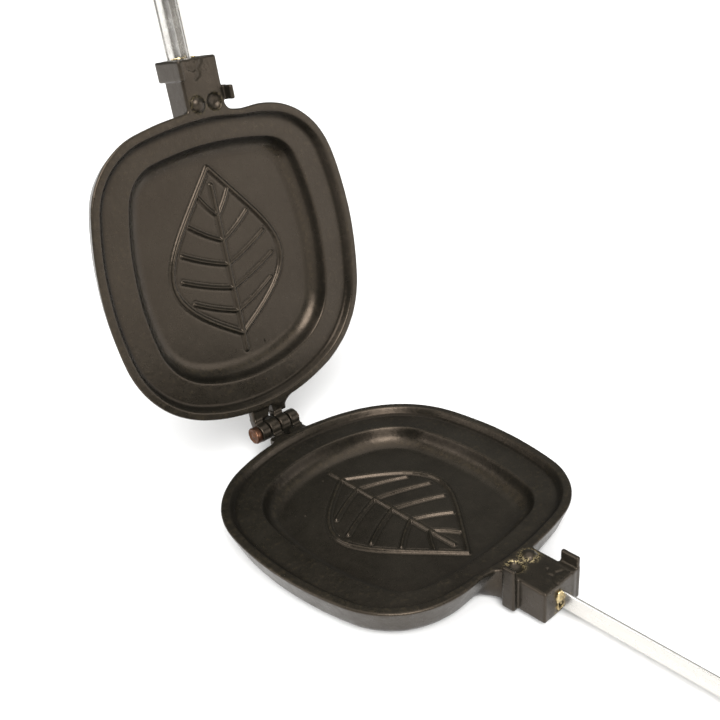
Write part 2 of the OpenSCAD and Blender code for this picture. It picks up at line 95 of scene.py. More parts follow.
class PieIronCasting(bpy.types.PropertyGroup):
    """Sizes of one casting; both halves are the same casting."""

    plate_width: size("Plate width", "Width across the plate", 114)
    plate_length: size("Plate length", "From the hinge end to the handle end", 117.3)
    hinge_reach: size("Hinge reach", "From the hinge axis to the plate's hinge end", 9.2)
    widest_at: size("Widest at", "From the hinge end to the plate's widest place", 58.7)
    casting_depth: size("Casting depth", "From the mating face to the underside", 14)
    side_bow: size("Side bow", "Radius of the bowed long sides", 125)
    hinge_end_bow: size("Hinge end bow", "Radius of the bowed hinge end", 77)
    handle_end_bow: size("Handle end bow", "Radius of the bowed handle end", 138)
    hinge_corner: size("Hinge corner", "Corner radius at the hinge end", 41)
    handle_corner: size("Handle corner", "Corner radius at the handle end", 31.3)
    wall_draft: size("Wall draft", "How far the outer wall draws in from rim to foot", 3)
    foot_round: size("Foot rounding", "Rounding where the wall meets the underside", 5)
    parting_gap: size("Parting gap", "Gap between the mating faces when shut", 0.3)
    rim_width: size("Rim width", "Width of the flat rim", 3)
    rim_round: size("Rim rounding", "Rounding of the rim's outer edge", 0.9)
    ledge_depth: size("Ledge depth", "Depth of the ledge below the rim", 3)
    step_run: size("Step run", "Width of the step from rim to ledge", 1.6)
    recess_side: size("Recess side", "From the plate's side to the recess", 15)
    recess_hinge_end: size("Recess hinge end", "From the hinge end to the recess", 14)
    recess_handle_end: size("Recess handle end", "From the handle end to the recess", 12)
    recess_depth: size("Recess depth", "Depth of the recess floor below the rim", 9.5)
    recess_run: size("Recess run", "Width of the sloped recess wall", 3.5)
    recess_fillet: size("Recess fillet", "Fillet between the recess wall and its floor", 3.2)
    leaf_length: size("Leaf length", "Length of the raised leaf", 66)
    leaf_width: size("Leaf width", "Width of the raised leaf", 50)
    stalk_length: size("Stalk length", "Length of the leaf's stalk", 7)
    line_width: size("Line width", "Width of the raised line", 2)
    line_height: size("Line height", "Height of the raised line", 0.9)
    barrel_diameter: size("Barrel diameter", "Outer diameter of the hinge barrel", 7.6)
    inner_knuckle: size("Inner knuckle", "Width of the inner knuckle", 4.5)
    outer_knuckle: size("Outer knuckle", "Width of the outer knuckle", 4.1)
    knuckle_gap: size("Knuckle gap", "Side gap between neighbouring knuckles", 0.5)
    barrel_clearance: size("Barrel clearance", "Gap between the barrel and the other arms", 0.45)
    arm_depth: size("Arm depth", "Depth of the hinge arms below the mating face", 5.2)
    arm_spread: size("Arm spread", "How far the arm spreads past the inner knuckle", 2.7)
    arm_fillet: size("Arm fillet", "Fillet between the spread arm and the plate", 4)
    notch_offset: size("Notch offset", "How far the notch starts off the centre line", 0.65)
    notch_width: size("Notch width", "Width of the pointed notch at the barrel", 3.3)
    stop_gap: size("Stop gap", "Gap left at the opening stop", 0.3)
    stop_length: size("Stop length", "Length of the stop lug behind the barrel", 5.5)
    block_width: size("Block width", "Width of the block that holds the rod", 15.8)
    block_length: size("Block length", "Length of the block beyond the plate", 17)
    block_depth: size("Block depth", "Depth of the block below the mating face", 12.3)
    neck_fillet: size("Neck fillet", "Fillet between the neck and the plate, at the mating face", 2)
    neck_growth: size("Neck fillet growth", "How much larger that fillet is toward the underside", 4)
    bay_depth: size("Bay depth", "Depth of the shallow bay in the outline beside the neck", 1.7)
    ear_thickness: size("Ear thickness", "Thickness of the guide ears", 1.8)
    ear_rise: size("Ear rise", "Height of the guide ears above the mating face", 3.8)
    ear_clearance: size("Ear clearance", "Side clearance of the guide ears", 0.35)
    outer_ear_length: size("Outer ear length", "Length of the ear at the block's end", 6.8)
    inner_ear_length: size("Inner ear length", "Length of the ear beside the plate", 5)
    inner_ear_at: size("Inner ear place", "From the plate's handle end to the inner ear", 1.5)
    dome_at: size("Dome place", "From the plate's handle end to the dome", 1.8)
    dome_offset: size("Dome offset", "From the centre line to the dome and the cup", 3.5)
    dome_radius: size("Dome radius", "Radius of the locating dome", 3.2)
    dome_height: size("Dome height", "Height of the locating dome", 1.6)
    dome_clearance: size("Dome clearance", "Clearance of the dome in its cup", 0.4)
    vein_count: IntProperty(name="Veins", description="Side veins on each half of the leaf", default=5, min=1)
    grid_step: size("Grid step", "Spacing of the grid that the casting is worked out on", 0.4)
    most_faces: IntProperty(name="Most faces", description="Triangles kept in one casting", default=185000,
                            min=1000)


class PieIronHandle(bpy.types.PropertyGroup):
    """Sizes of the pin, rods, grips, rivets and latch."""

    pin_diameter: size("Pin diameter", "Diameter of the hinge pin", 4)
    pin_head_diameter: size("Pin head diameter", "Diameter of the pin's head", 6.9)
    pin_head_thickness: size("Pin head thickness", "Thickness of the pin's head", 2.6)
    pin_tail_diameter: size("Pin tail diameter", "Diameter of the riveted tail", 5.4)
    pin_tail_thickness: size("Pin tail thickness", "Thickness of the riveted tail", 1)
    pin_play: size("Pin play", "Gap between the barrel's ends and the pin's head and tail", 0.2)
    rod_width: size("Rod width", "Width of the angle rod, across its base", 6.2)
    rod_depth: size("Rod depth", "Depth of the angle rod, down its wall", 6.8)
    rod_wall: size("Rod wall", "Thickness of the folded steel", 1.2)
    rod_inset: size("Rod inset", "From the mating face to the top of the rod's wall", 3.5)
    rod_offset: size("Rod offset", "How far the rod sits off the block's centre line", 1.5)
    socket_depth: size("Socket depth", "Depth of the rod's socket in the block", 20)
    handle_reach: size("Handle reach", "From the hinge axis to the end of the grips", 702)
    braze_width: size("Braze width", "Width of the braze bead round the rod", 1.5)
    grip_length: size("Grip length", "Length of each wooden grip", 125)
    grip_front_radius: size("Grip front radius", "Radius at the front end", 12.5)
    grip_full_radius: size("Grip full radius", "Radius where the grip is fullest", 13.4)
    grip_waist_radius: size("Grip waist radius", "Radius at the waist before the end", 12.6)
    grip_end_round: size("Grip end rounding", "Rounding of the far end", 9)
    grip_end_wood: size("Grip end wood", "Wood between the rod's end and the grip's end", 25)
    rivet_diameter: size("Rivet diameter", "Diameter of the cross rivets", 3.2)
    rivet_head_diameter: size("Rivet head diameter", "Diameter of the rivet heads", 6)
    rivet_head_thickness: size("Rivet head thickness", "Thickness of the rivet heads", 1.1)
    rivet_front: size("First rivet", "From the grip's front end to the first rivet", 20)
    rivet_spacing: size("Rivet spacing", "Spacing of the two rivets", 50)
    rivet_sink: size("Rivet sink", "How deep the rivet heads sit in the wood", 0.7)
    wire_diameter: size("Wire diameter", "Diameter of the latch wire", 2.5)
    latch_from_end: size("Latch place", "From the grip's end to the latch pivot", 10)
    latch_pivot_depth: size("Latch pivot depth", "Depth of the latch pivot below the mating face", 6.5)
    latch_engagement: size("Latch engagement", "Depth of the wire's ends in the wood", 6)
    latch_gap: size("Latch gap", "Gap between the latch and the grips it clasps", 0.4)


class PieIronFinish(bpy.types.PropertyGroup):
    """Colours of the materials and of the stage."""

    iron_dark: tint("Iron, dark", "Seasoned iron in its darkest patches", (0.0064, 0.0061, 0.0046))
    iron_light: tint("Iron, light", "Seasoned iron in its lightest patches", (0.0124, 0.0115, 0.0088))
    # This brown is also the colour of the painted highlight on the rim.
    iron_rub_and_rim_highlight: tint("Iron, rubbed", "High spots rubbed to brown", (0.026, 0.021, 0.013))
    bronze: tint("Braze", "Braze metal and its flash on the iron", (0.62, 0.50, 0.27))
    steel: tint("Steel", "Bright plated steel", (0.70, 0.68, 0.645))
    copper: tint("Copper", "Hinge pin", (0.13, 0.062, 0.036))
    tarnish: tint("Tarnish", "Dark tarnish on the pin and rivets", (0.035, 0.022, 0.016))
    wood_light: tint("Wood, light", "Early wood of the grips", (0.46, 0.255, 0.11))
    wood_dark: tint("Wood, dark", "Late wood of the grips", (0.235, 0.105, 0.04))
    floor: tint("Floor", "Plain pale floor", (0.9, 0.9, 0.895))


# Distances that shapes are made of: a field is below zero inside the metal and tells how far away its skin is

def round_join(a, b, radius):
    """Two bodies together, with a fillet: the corner between them is filled by an arc of the given radius."""
    u = np.maximum(radius - a, 0)
    v = np.maximum(radius - b, 0)
    return np.maximum(radius, np.minimum(a, b)) - np.hypot(u, v)


def round_cut(a, b, radius):
    """What two bodies share, with the edge between them rounded by an arc of the given radius."""
    u = np.maximum(radius + a, 0)
    v = np.maximum(radius + b, 0)
    return np.minimum(-radius, np.maximum(a, b)) + np.hypot(u, v)


def slab(x, y, z, low, high, radius):
    """A block with rounded edges: the distance to a smaller block, less the radius."""
    gaps = [np.abs(p - (a + b) / 2) - (b - a) / 2 + radius for p, a, b in zip((x, y, z), low, high)]
    outside = np.sqrt(sum(np.maximum(g, 0) ** 2 for g in gaps))
    inside = np.minimum(np.maximum(np.maximum(gaps[0], gaps[1]), gaps[2]), 0)
    return outside + inside - radius


def line_side(u, v, start, end):
    """Distance to the right of a straight line that runs from start to end in the plane of u and v."""
    run, rise = end[0] - start[0], end[1] - start[1]
    return ((u - start[0]) * rise - (v - start[1]) * run) / math.hypot(run, rise)


def path_distance(x, y, path):
    """Distance in the plane to a run of straight stretches."""
    nearest = np.full(np.broadcast(x, y).shape, 1.0)
    for (ax, ay), (bx, by) in zip(path[:-1], path[1:]):
        run, rise = bx - ax, by - ay
        t = np.clip(((x - ax) * run + (y - ay) * rise) / (run * run + rise * rise), 0, 1)
        nearest = np.minimum(nearest, np.hypot(x - ax - t * run, y - ay - t * rise))
    return nearest


def smooth(t):
    """Rises from 0 to 1 as t does, level at both ends."""
    t = np.clip(t, 0, 1)
    return t * t * (3 - 2 * t)


def bell(gap, width):
    """Falls from 1 to 0 on both sides of no gap, by the bell curve of that width."""
    return np.exp(-(gap / width) ** 2)


def ripple(x, y, z, wave, seed):
    """A soft unevenness from -1 to 1: the mean of sine waves that cross at fixed odd angles."""
    total = 0
    turns = ((1.0, 0.31, 0.52), (-0.43, 1.0, 0.27), (0.36, -0.58, 1.0), (0.81, 0.77, -0.64), (-0.92, 0.41, 0.83))
    for k, (a, b, c) in enumerate(turns):
        total = total + np.sin((a * x + b * y + c * z) * 2 * math.pi / wave * (1 + 0.17 * k) + seed * (k + 1.7))
    return total / len(turns)


def quarter_inside(across, along, half, reach, side_r, end_r, corner_r):
    """How far a point is inside a quarter of the outline: the side's arc, the end's arc, or the corner arc that
    touches both, wherever the point faces it."""
    side_x = half - side_r
    end_y = reach - end_r
    apart = math.hypot(side_x, end_y)
    r0, r1 = side_r - corner_r, end_r - corner_r
    to_foot = (apart * apart + r0 * r0 - r1 * r1) / (2 * apart)
    off = math.sqrt(max(r0 * r0 - to_foot * to_foot, 0))
    ex, ey = -side_x / apart, end_y / apart
    ends = [(side_x + to_foot * ex - s * off * ey, to_foot * ey + s * off * ex) for s in (1, -1)]
    cx, cy = max(ends, key=sum)
    u, v = across - cx, along - cy
    faces_corner = ((cx - side_x) * v - cy * u >= 0) & (u * (cy - end_y) - v * cx >= 0)
    to_side = side_r - np.hypot(across - side_x, along)
    to_end = end_r - np.hypot(across, along - end_y)
    return np.where(faces_corner, corner_r - np.hypot(u, v), np.minimum(to_side, to_end))


def inside_outline(c, x, y, side_in=0.0, hinge_in=0.0, handle_in=0.0):
    """How far a point is inside the plate's outline, drawn in by its own amount at the sides and the two ends."""
    across = np.abs(x)
    along = y - c.hinge_reach - c.widest_at
    half = c.plate_width / 2 - side_in
    side_r = c.side_bow - side_in
    far = quarter_inside(across, np.abs(along), half, c.plate_length - c.widest_at - handle_in, side_r,
                         c.handle_end_bow - handle_in, c.handle_corner - side_in)
    near = quarter_inside(across, np.abs(along), half, c.widest_at - hinge_in, side_r,
                          c.hinge_end_bow - hinge_in, c.hinge_corner - side_in)
    return np.where(along > 0, far, near)


# The casting

BAY_AT = 13 * MM
BAY_WIDTH = 7.5 * MM
BAY_START = 16 * MM
BAY_RISE = 10 * MM
BAY_SHARE_AT_RIM = 0.4
BLOCK_ROUND = 0.9 * MM
LEDGE_FILLET = 1.0 * MM
RECESS_EDGE = 0.5 * MM
HOLLOW_EDGE = 0.45 * MM
ARM_TOP = 1.1 * MM
ARM_ROUND = 1.2 * MM
ARM_SIDE_ROUND = 0.8 * MM
NOTCH_PAST_PLATE = 0.6 * MM
NOTCH_TAPER = 0.8
KNUCKLE_ROOT_TOP = 0.9 * MM
KNUCKLE_ROOT_RUN = 1 * MM
KNUCKLE_ROUND = 0.4 * MM
LUG_START = 0.4
SMALL_ROUND = 0.5 * MM
SOFT_ROUND = 0.7 * MM
SMALL_FILLET = 0.3 * MM
EAR_ROUND = 0.75 * MM
EAR_FILLET = 0.35 * MM
LEFT_FILLET = 0.8 * MM
FILLET_GROWS_OVER = 4 * MM
NECK_GROWS_OVER = 9 * MM
SOCKET_PLAY = 0.15 * MM
BORE_PLAY = 0.12 * MM

LEAF_FULLNESS = 0.28
VEIN_CLIMB = 0.13
VEIN_REACH = 0.84
VEIN_BEND = 0.3
VEIN_TOP = 0.9
LEAF_STEPS = 22
VEIN_STEPS = 5
FINE_LINE = 0.2
RIDGE_SLOPE = 1.35
GROOVE_DEPTH = 0.14 * MM
GROOVE_AT = 1.45
GROOVE_WIDTH = 0.3

# The cast skin: how high and how wide its unevenness is, and the cracks by the rod's exit in millimetres
BROAD_WAVE = (0.045 * MM, 19 * MM, 1.3)
SHORT_WAVE = (0.022 * MM, 5.3 * MM, 4.1)
ROUGH_WAVE = (0.16 * MM, 1.7 * MM, 7.7)
SKIN_DROP = 0.07 * MM
CRACK_DEPTH = 0.32 * MM
CRACK_WIDTH = 0.42 * MM
CRACKS = (
    ((1.6, 0.5), (0.9, -2.2), (-0.6, -3.4), (-0.2, -5.8), (-2.3, -7.0)),
    ((-0.6, -3.4), (-2.6, -3.9), (-4.4, -3.2)),
)


def plate_end(c):
    """Where the plate ends along the handle."""
    return c.hinge_reach + c.plate_length


def block_end(c):
    """Where the block ends along the handle."""
    return plate_end(c) + c.block_length


def leaf_half(c, t):
    """Half width of the leaf at a share of its length: a sine arch that is fuller toward the stalk."""
    turn = math.pi * t
    return c.leaf_width / 2 * math.sin(turn) * (1 + LEAF_FULLNESS * math.cos(turn)) / (1 + LEAF_FULLNESS ** 2 / 2)


def leaf_height(c, x, y):
    """Height of the raised leaf above the floor: a round-topped ridge along each edge, the midrib and the veins."""
    hinge_end = c.hinge_reach + c.recess_hinge_end
    handle_end = c.hinge_reach + c.plate_length - c.recess_handle_end
    base = (hinge_end + handle_end) / 2 - (c.leaf_length - c.stalk_length) / 2
    across = np.abs(x)
    steps = [i / LEAF_STEPS for i in range(LEAF_STEPS + 1)]
    bold = path_distance(across, y, [(leaf_half(c, t), base + c.leaf_length * t) for t in steps])
    midrib = [(0, base - c.stalk_length), (0, base + c.leaf_length * VEIN_TOP)]
    bold = np.minimum(bold, path_distance(x, y, midrib))
    fine = np.full(bold.shape, 1.0)
    for k in range(1, c.vein_count + 1):
        start = VEIN_TOP * k / (c.vein_count + 1.2)
        reach = VEIN_REACH * leaf_half(c, start + VEIN_CLIMB)
        shares = [i / VEIN_STEPS for i in range(VEIN_STEPS + 1)]
        vein = [(reach * s, base + c.leaf_length * (start + VEIN_CLIMB * s * (1 - VEIN_BEND * (1 - s))))
                for s in shares]
        fine = np.minimum(fine, path_distance(across, y, vein))
    half = c.line_width / 2
    ridge = np.minimum(bold, fine + half * FINE_LINE) / half
    groove = GROOVE_DEPTH * bell(ridge - GROOVE_AT, GROOVE_WIDTH)
    return c.line_height * smooth(RIDGE_SLOPE * (1 - ridge)) - groove


def plate_field(c, x, y, face):
    """The plate without its hollow: a drafted wall round the outline, rounded into the underside. Its top is
    left open, because the block and the plate are cut level together."""
    bay = c.bay_depth * bell(x - BAY_AT, BAY_WIDTH) * smooth((y - plate_end(c) + BAY_START) / BAY_RISE)
    edge = inside_outline(c, x, y)
    wall = line_side(edge - bay, face, (c.wall_draft, c.foot_round - c.casting_depth), (0, -c.rim_round))
    return edge - BAY_SHARE_AT_RIM * bay, round_cut(-wall, -(face + c.casting_depth), c.foot_round)


def block_field(c, x, y, z):
    """The block that holds the rod, a rounded slab that runs back into the plate."""
    low = (-c.block_width / 2, plate_end(c) - 2 * c.rim_width, -c.block_depth)
    high = (c.block_width / 2, block_end(c), c.block_depth)
    return slab(x, y, z, low, high, BLOCK_ROUND)


def hollow_field(c, x, y, edge, face):
    """The hollow: a drafted step down to the ledge, and a sloped recess with a wide fillet and the leaf on its
    floor. It is below zero in the air."""
    step = line_side(edge, face, (c.rim_width, 0), (c.rim_width + c.step_run, -c.ledge_depth))
    ledge = round_cut(step, -(face + c.ledge_depth), LEDGE_FILLET)
    deep = inside_outline(c, x, y, c.recess_side, c.recess_hinge_end, c.recess_handle_end)
    wall = line_side(deep, face, (0, -c.ledge_depth), (c.recess_run, -c.recess_depth))
    floor = -(face + c.recess_depth) + leaf_height(c, x, y)
    return round_join(ledge, round_cut(wall, floor, c.recess_fillet), RECESS_EDGE)


def arm_front(c):
    """Where the arms start: just clear of the other half's barrel."""
    return c.barrel_diameter / 2 + c.barrel_clearance


def knuckle_spans(c):
    """From where to where each knuckle reaches along the hinge axis."""
    inner = c.knuckle_gap / 2
    outer = inner + c.inner_knuckle + c.knuckle_gap
    return (inner, inner + c.inner_knuckle), (-outer - c.outer_knuckle, -outer)


def arm_field(c, x, y, z):
    """The web of both arms. A pointed notch runs through it from the barrel, a little off the centre line there."""
    (_, right), (left, _) = knuckle_spans(c)
    plate_y = c.hinge_reach
    front = arm_front(c)
    side = np.maximum(left - x, x - right - c.arm_spread)
    web = round_cut(side, np.maximum(front - y, y - plate_y - c.rim_width), ARM_SIDE_ROUND)
    web = round_cut(web, np.maximum(-c.arm_depth - z, z + ARM_TOP), ARM_ROUND)
    tip = plate_y + NOTCH_PAST_PLATE
    share = np.clip((tip - y) / (tip - front), 0, 1)
    notch = np.abs(x + c.notch_offset * share) - c.notch_width / 2 * share ** NOTCH_TAPER
    notch = np.maximum(notch, y - tip)
    return round_cut(web, -notch, SMALL_ROUND)


def knuckle_field(c, x, y, z):
    """The two knuckles, each a round barrel with a root that runs down to its arm, and the stop lug behind the
    inner one, which meets the other half's arm when the iron is fully open."""
    radius = c.barrel_diameter / 2
    front = arm_front(c)
    barrel = np.hypot(y, z) - radius
    under = line_side(y, z, (0, -radius), (front + KNUCKLE_ROOT_RUN, -c.arm_depth))
    root = np.maximum(np.maximum(under, z + KNUCKLE_ROOT_TOP), np.maximum(-y, y - front - KNUCKLE_ROOT_RUN))
    side_view = round_join(barrel, root, SOFT_ROUND)
    spans = knuckle_spans(c)
    both = np.minimum(*[round_cut(side_view, np.abs(x - (a + b) / 2) - (b - a) / 2, KNUCKLE_ROUND)
                        for a, b in spans])
    turn_y = y * math.cos(OPEN_ANGLE) + z * math.sin(OPEN_ANGLE)
    turn_z = z * math.cos(OPEN_ANGLE) - y * math.sin(OPEN_ANGLE)
    low = (spans[0][0], LUG_START * radius, 0)
    high = (spans[0][1], front - c.stop_gap, c.stop_length)
    lug = slab(x, turn_y, turn_z, low, high, SOFT_ROUND)
    return round_join(both, lug, SMALL_ROUND)


def ear_field(c, x, y, z, side, start, length):
    """A guide ear on one side of the block: a thin rounded tongue above the mating face, on a root as deep as
    the block."""
    inner = c.block_width / 2 + c.ear_clearance
    outer = inner + c.ear_thickness
    tongue = slab(side * x, y, z, (inner, start, -c.block_depth), (outer, start + length, c.ear_rise), EAR_ROUND)
    root_low = (c.block_width / 2 - 2 * MM, start, -c.block_depth)
    root_high = (outer - 0.2 * MM, start + length, -c.parting_gap / 2)
    return round_join(tongue, slab(side * x, y, z, root_low, root_high, SMALL_ROUND), SMALL_FILLET)


def rod_field(h, x, z, clear):
    """Outer shape of the angle rod in section, one wall on a base, grown by a clearance."""
    mid = -h.rod_inset - h.rod_depth / 2
    outer = np.maximum(np.abs(x + h.rod_offset) - h.rod_width / 2, np.abs(z - mid) - h.rod_depth / 2)
    inner_x = h.rod_width / 2 - h.rod_wall - h.rod_offset
    inner_z = -h.rod_inset - h.rod_depth + h.rod_wall
    return np.maximum(outer, np.minimum(inner_x - x, z - inner_z)) - clear


def growing_fillet(x, radius):
    """A small fillet on the left that grows to the given radius toward the right."""
    return LEFT_FILLET + (radius - LEFT_FILLET) * smooth(x / FILLET_GROWS_OVER)


def casting_field(c, h, x, y, z):
    """The whole casting: plate and block cut level at the mating face, less the hollow, with arms, knuckles, ears
    and dome joined on by small fillets, and the cup, the rod's socket and the pin's bore cut out."""
    level = -c.parting_gap / 2
    face = z - level
    end = plate_end(c)
    edge, plate = plate_field(c, x, y, face)
    neck = c.neck_fillet + c.neck_growth * smooth(-face / NECK_GROWS_OVER)
    metal = round_join(plate, block_field(c, x, y, z), growing_fillet(x, neck))
    metal = round_join(metal, arm_field(c, x, y, z), growing_fillet(x, c.arm_fillet))
    metal = round_cut(metal, face, c.rim_round)
    metal = round_cut(metal, -hollow_field(c, x, y, edge, face), HOLLOW_EDGE)
    metal = round_join(metal, knuckle_field(c, x, y, z), SMALL_FILLET)
    ears = (
        (-1, block_end(c) - c.outer_ear_length, c.outer_ear_length),
        (1, end + c.inner_ear_at, c.inner_ear_length),
    )
    for side, start, length in ears:
        metal = round_join(metal, ear_field(c, x, y, z, side, start, length), EAR_FILLET)
    dome_y = y - end - c.dome_at
    sink = c.dome_height - c.dome_radius
    dome = np.sqrt((x + c.dome_offset) ** 2 + dome_y ** 2 + (z - sink) ** 2) - c.dome_radius
    cup = np.sqrt((x - c.dome_offset) ** 2 + dome_y ** 2 + (z + sink) ** 2) - c.dome_radius - c.dome_clearance
    metal = round_join(metal, dome, SMALL_FILLET)
    metal = round_cut(metal, -cup, EAR_FILLET)
    socket = np.maximum(rod_field(h, x, z, SOCKET_PLAY), block_end(c) - h.socket_depth - y)
    bore = np.hypot(y, z) - h.pin_diameter / 2 - BORE_PLAY
    return np.maximum(metal, -np.minimum(socket, bore))


def skin_flaws(c, x, y, z):
    """How far the cast skin stands above the true shape: a soft unevenness all over, and near the rod's exit two
    jagged cracks and the rough metal beside them, on the mating face alone."""
    broad, short, rough = [height * ripple(x, y, z, wave, seed) for height, wave, seed
                           in (BROAD_WAVE, SHORT_WAVE, ROUGH_WAVE)]
    skin = broad + short - SKIN_DROP
    end = block_end(c)
    nearest = np.full(x.shape, 1.0)
    for crack in CRACKS:
        nearest = np.minimum(nearest, path_distance(x, y, [(a * MM, end + b * MM) for a, b in crack]))
    on_face = smooth((z + 0.9 * MM) / (0.5 * MM)) * (z < 0.3 * MM)
    near_exit = bell(y - end + 2.5 * MM, 3.2 * MM) * bell(x, 4.5 * MM)
    return skin + on_face * (near_exit * rough - CRACK_DEPTH * bell(nearest, CRACK_WIDTH))


def surface_net(field, low, step):
    """The skin of a field sampled on a grid: one point in each cell that the zero level crosses, at the mean of
    the crossings on its twelve edges, and one four-sided face across each crossed grid edge."""
    inside = field < 0
    corners = np.array([(i, j, k) for i in (0, 1) for j in (0, 1) for k in (0, 1)])
    nx, ny, nz = np.array(inside.shape) - 1
    count = sum(inside[i:nx + i, j:ny + j, k:nz + k].astype(np.int8) for i, j, k in corners)
    cells = np.argwhere((count > 0) & (count < 8))
    number = np.full(count.shape, -1, np.int64)
    number[tuple(cells.T)] = np.arange(len(cells))
    values = [field[tuple((cells + corner).T)] for corner in corners]
    total = np.zeros((len(cells), 3))
    hits = np.zeros(len(cells))
    for a in range(8):
        for b in range(a + 1, 8):
            if np.abs(corners[a] - corners[b]).sum() != 1:
                continue
            crossed = (values[a] < 0) != (values[b] < 0)
            gap = np.where(crossed, values[a] - values[b], 1)
            t = np.where(crossed, values[a] / gap, 0)
            total += crossed[:, None] * (corners[a] + t[:, None] * (corners[b] - corners[a]))
            hits += crossed
    points = np.array(low) + (cells + total / hits[:, None]) * step
    faces = []
    for axis in range(3):
        order = [axis, (axis + 1) % 3, (axis + 2) % 3]
        solid = np.transpose(inside, order)
        index = np.transpose(number, order)
        before, after = solid[:-1, 1:-1, 1:-1], solid[1:, 1:-1, 1:-1]
        crossed = before != after
        around = [index[:, :-1, :-1], index[:, 1:, :-1], index[:, 1:, 1:], index[:, :-1, 1:]]
        quads = np.stack([part[crossed] for part in around], 1)
        outward = before[crossed]
        faces.append(np.where(outward[:, None], quads, quads[:, ::-1]))
    return points, np.concatenate(faces)


def settle(points, field, skin):
    """Moves each point along the field's steepest way until it lies on the skin, in three short steps."""
    h = 0.02 * MM
    for _ in range(3):
        x, y, z = points.T
        here = field(x, y, z)
        slope = np.stack([field(x + h, y, z) - here, field(x, y + h, z) - here, field(x, y, z + h) - here], 1) / h
        length = np.maximum((slope ** 2).sum(1), 0.2)
        move = np.clip((here - skin(x, y, z)) / length, -0.2 * MM, 0.2 * MM)
        points = points - slope * move[:, None]
    return points


def thin_out(points, faces, most):
    """Drops points where the skin is flat until at most that many triangles are left."""
    obj = plain_object("casting_blank", points, [faces])
    modifier = obj.modifiers.new("thin", "DECIMATE")
    modifier.ratio = min(1.0, most / (2 * len(faces)))
    return take_mesh(obj)


def casting_shape(c, h):
    """Points and triangles of one casting, lying flat."""
    step = c.grid_step
    spare = 3 * step
    radius = c.barrel_diameter / 2
    low = np.array([-c.plate_width / 2, -radius - c.stop_length, -c.parting_gap / 2 - c.casting_depth]) - spare
    high = np.array([c.plate_width / 2, block_end(c), radius + c.stop_length]) + spare
    axes = [np.arange(a, b, step) for a, b in zip(low, high)]
    x, y, z = np.meshgrid(*axes, indexing="ij", sparse=True)
    grid = casting_field(c, h, x, y, z)
    points, faces = surface_net(grid, low, step)
    points = settle(points, lambda *p: casting_field(c, h, *p), lambda *p: skin_flaws(c, *p))
    return thin_out(points, faces, c.most_faces)


# Meshes from arrays

def plain_object(name, points, groups):
    """A mesh object from points and arrays of faces, each array with its own number of corners."""
    groups = [np.asarray(g, np.int32) for g in groups if len(g)]
    corners = np.concatenate([g.ravel() for g in groups])
    sizes = np.concatenate([np.full(len(g), g.shape[1]) for g in groups])
    starts = np.concatenate([[0], np.cumsum(sizes)[:-1]])
    mesh = bpy.data.meshes.new(name)
    mesh.vertices.add(len(points))
    mesh.vertices.foreach_set("co", np.asarray(points, np.float32).ravel())
    mesh.loops.add(len(corners))
    mesh.loops.foreach_set("vertex_index", corners)
    mesh.polygons.add(len(sizes))
    mesh.polygons.foreach_set("loop_start", starts.astype(np.int32))
    mesh.polygons.foreach_set("use_smooth", np.ones(len(sizes), bool))
    mesh.update(calc_edges=True)
    mesh.validate()
    obj = bpy.data.objects.new(name, mesh)
    bpy.context.scene.collection.objects.link(obj)
    return obj


def take_mesh(obj):
    """Points and triangles of an object with its modifiers applied; the object itself is removed."""
    bpy.context.view_layer.update()
    made = obj.evaluated_get(bpy.context.evaluated_depsgraph_get()).to_mesh()
    made.calc_loop_triangles()
    points = np.zeros(len(made.vertices) * 3, np.float32)
    made.vertices.foreach_get("co", points)
    faces = np.zeros(len(made.loop_triangles) * 3, np.int32)
    made.loop_triangles.foreach_get("vertices", faces)
    obj.evaluated_get(bpy.context.evaluated_depsgraph_get()).to_mesh_clear()
    old = obj.data
    bpy.data.objects.remove(obj)
    bpy.data.meshes.remove(old)
    return points.reshape(-1, 3).astype(float), faces.reshape(-1, 3)


def loft(rings, closed=False):
    """A skin over rings of points, one row after another. The ends are closed by strips that join each ring's
    first half to its second; with closed, the last ring joins the first instead."""
    rows, n, _ = rings.shape
    index = np.arange(rows * n).reshape(rows, n)
    following = np.roll(index, -1, axis=1)
    if closed:
        index, following = np.vstack([index, index[:1]]), np.vstack([following, following[:1]])
    sides = np.stack([index[:-1], following[:-1], following[1:], index[1:]], -1).reshape(-1, 4)
    groups = [sides]
    if not closed:
        i = np.arange(n // 2 - 1)
        cap = np.stack([i, n - 1 - i, n - 2 - i, i + 1], 1)
        groups += [cap, (rows - 1) * n + cap[:, ::-1]]
    return rings.reshape(-1, 3), groups


def outward(points, groups):
    """The same faces, all turned round if the volume they enclose comes out below zero."""
    volume = 0
    for g in groups:
        for k in range(1, g.shape[1] - 1):
            a, b, d = points[g[:, 0]], points[g[:, k]], points[g[:, k + 1]]
            volume += (a * np.cross(b, d)).sum()
    return groups if volume > 0 else [g[:, ::-1] for g in groups]


def merged(parts):
    """Several separate solids as one mesh."""
    points, groups, shift = [], [], 0
    for p, g in parts:
        points.append(p)
        groups += [faces + shift for faces in g]
        shift += len(p)
    return np.vstack(points), groups


def full_circle(around):
    """Angles once round a circle."""
    return np.arange(around) * 2 * math.pi / around


def square_to(ahead):
    """The way to the left of each direction in the plane, one unit long."""
    ahead = ahead / np.hypot(*ahead.T)[:, None]
    return np.stack([-ahead[:, 1], ahead[:, 0]], 1)


def turned(profile, around=96):
    """A solid turned about X: each (place, radius) of the profile becomes a circle."""
    profile = np.asarray(profile, float)
    turn = full_circle(around)
    rings = np.stack([
        np.repeat(profile[:, :1], around, 1),
        profile[:, 1:] * np.cos(turn),
        profile[:, 1:] * np.sin(turn),
    ], -1)
    return loft(rings)


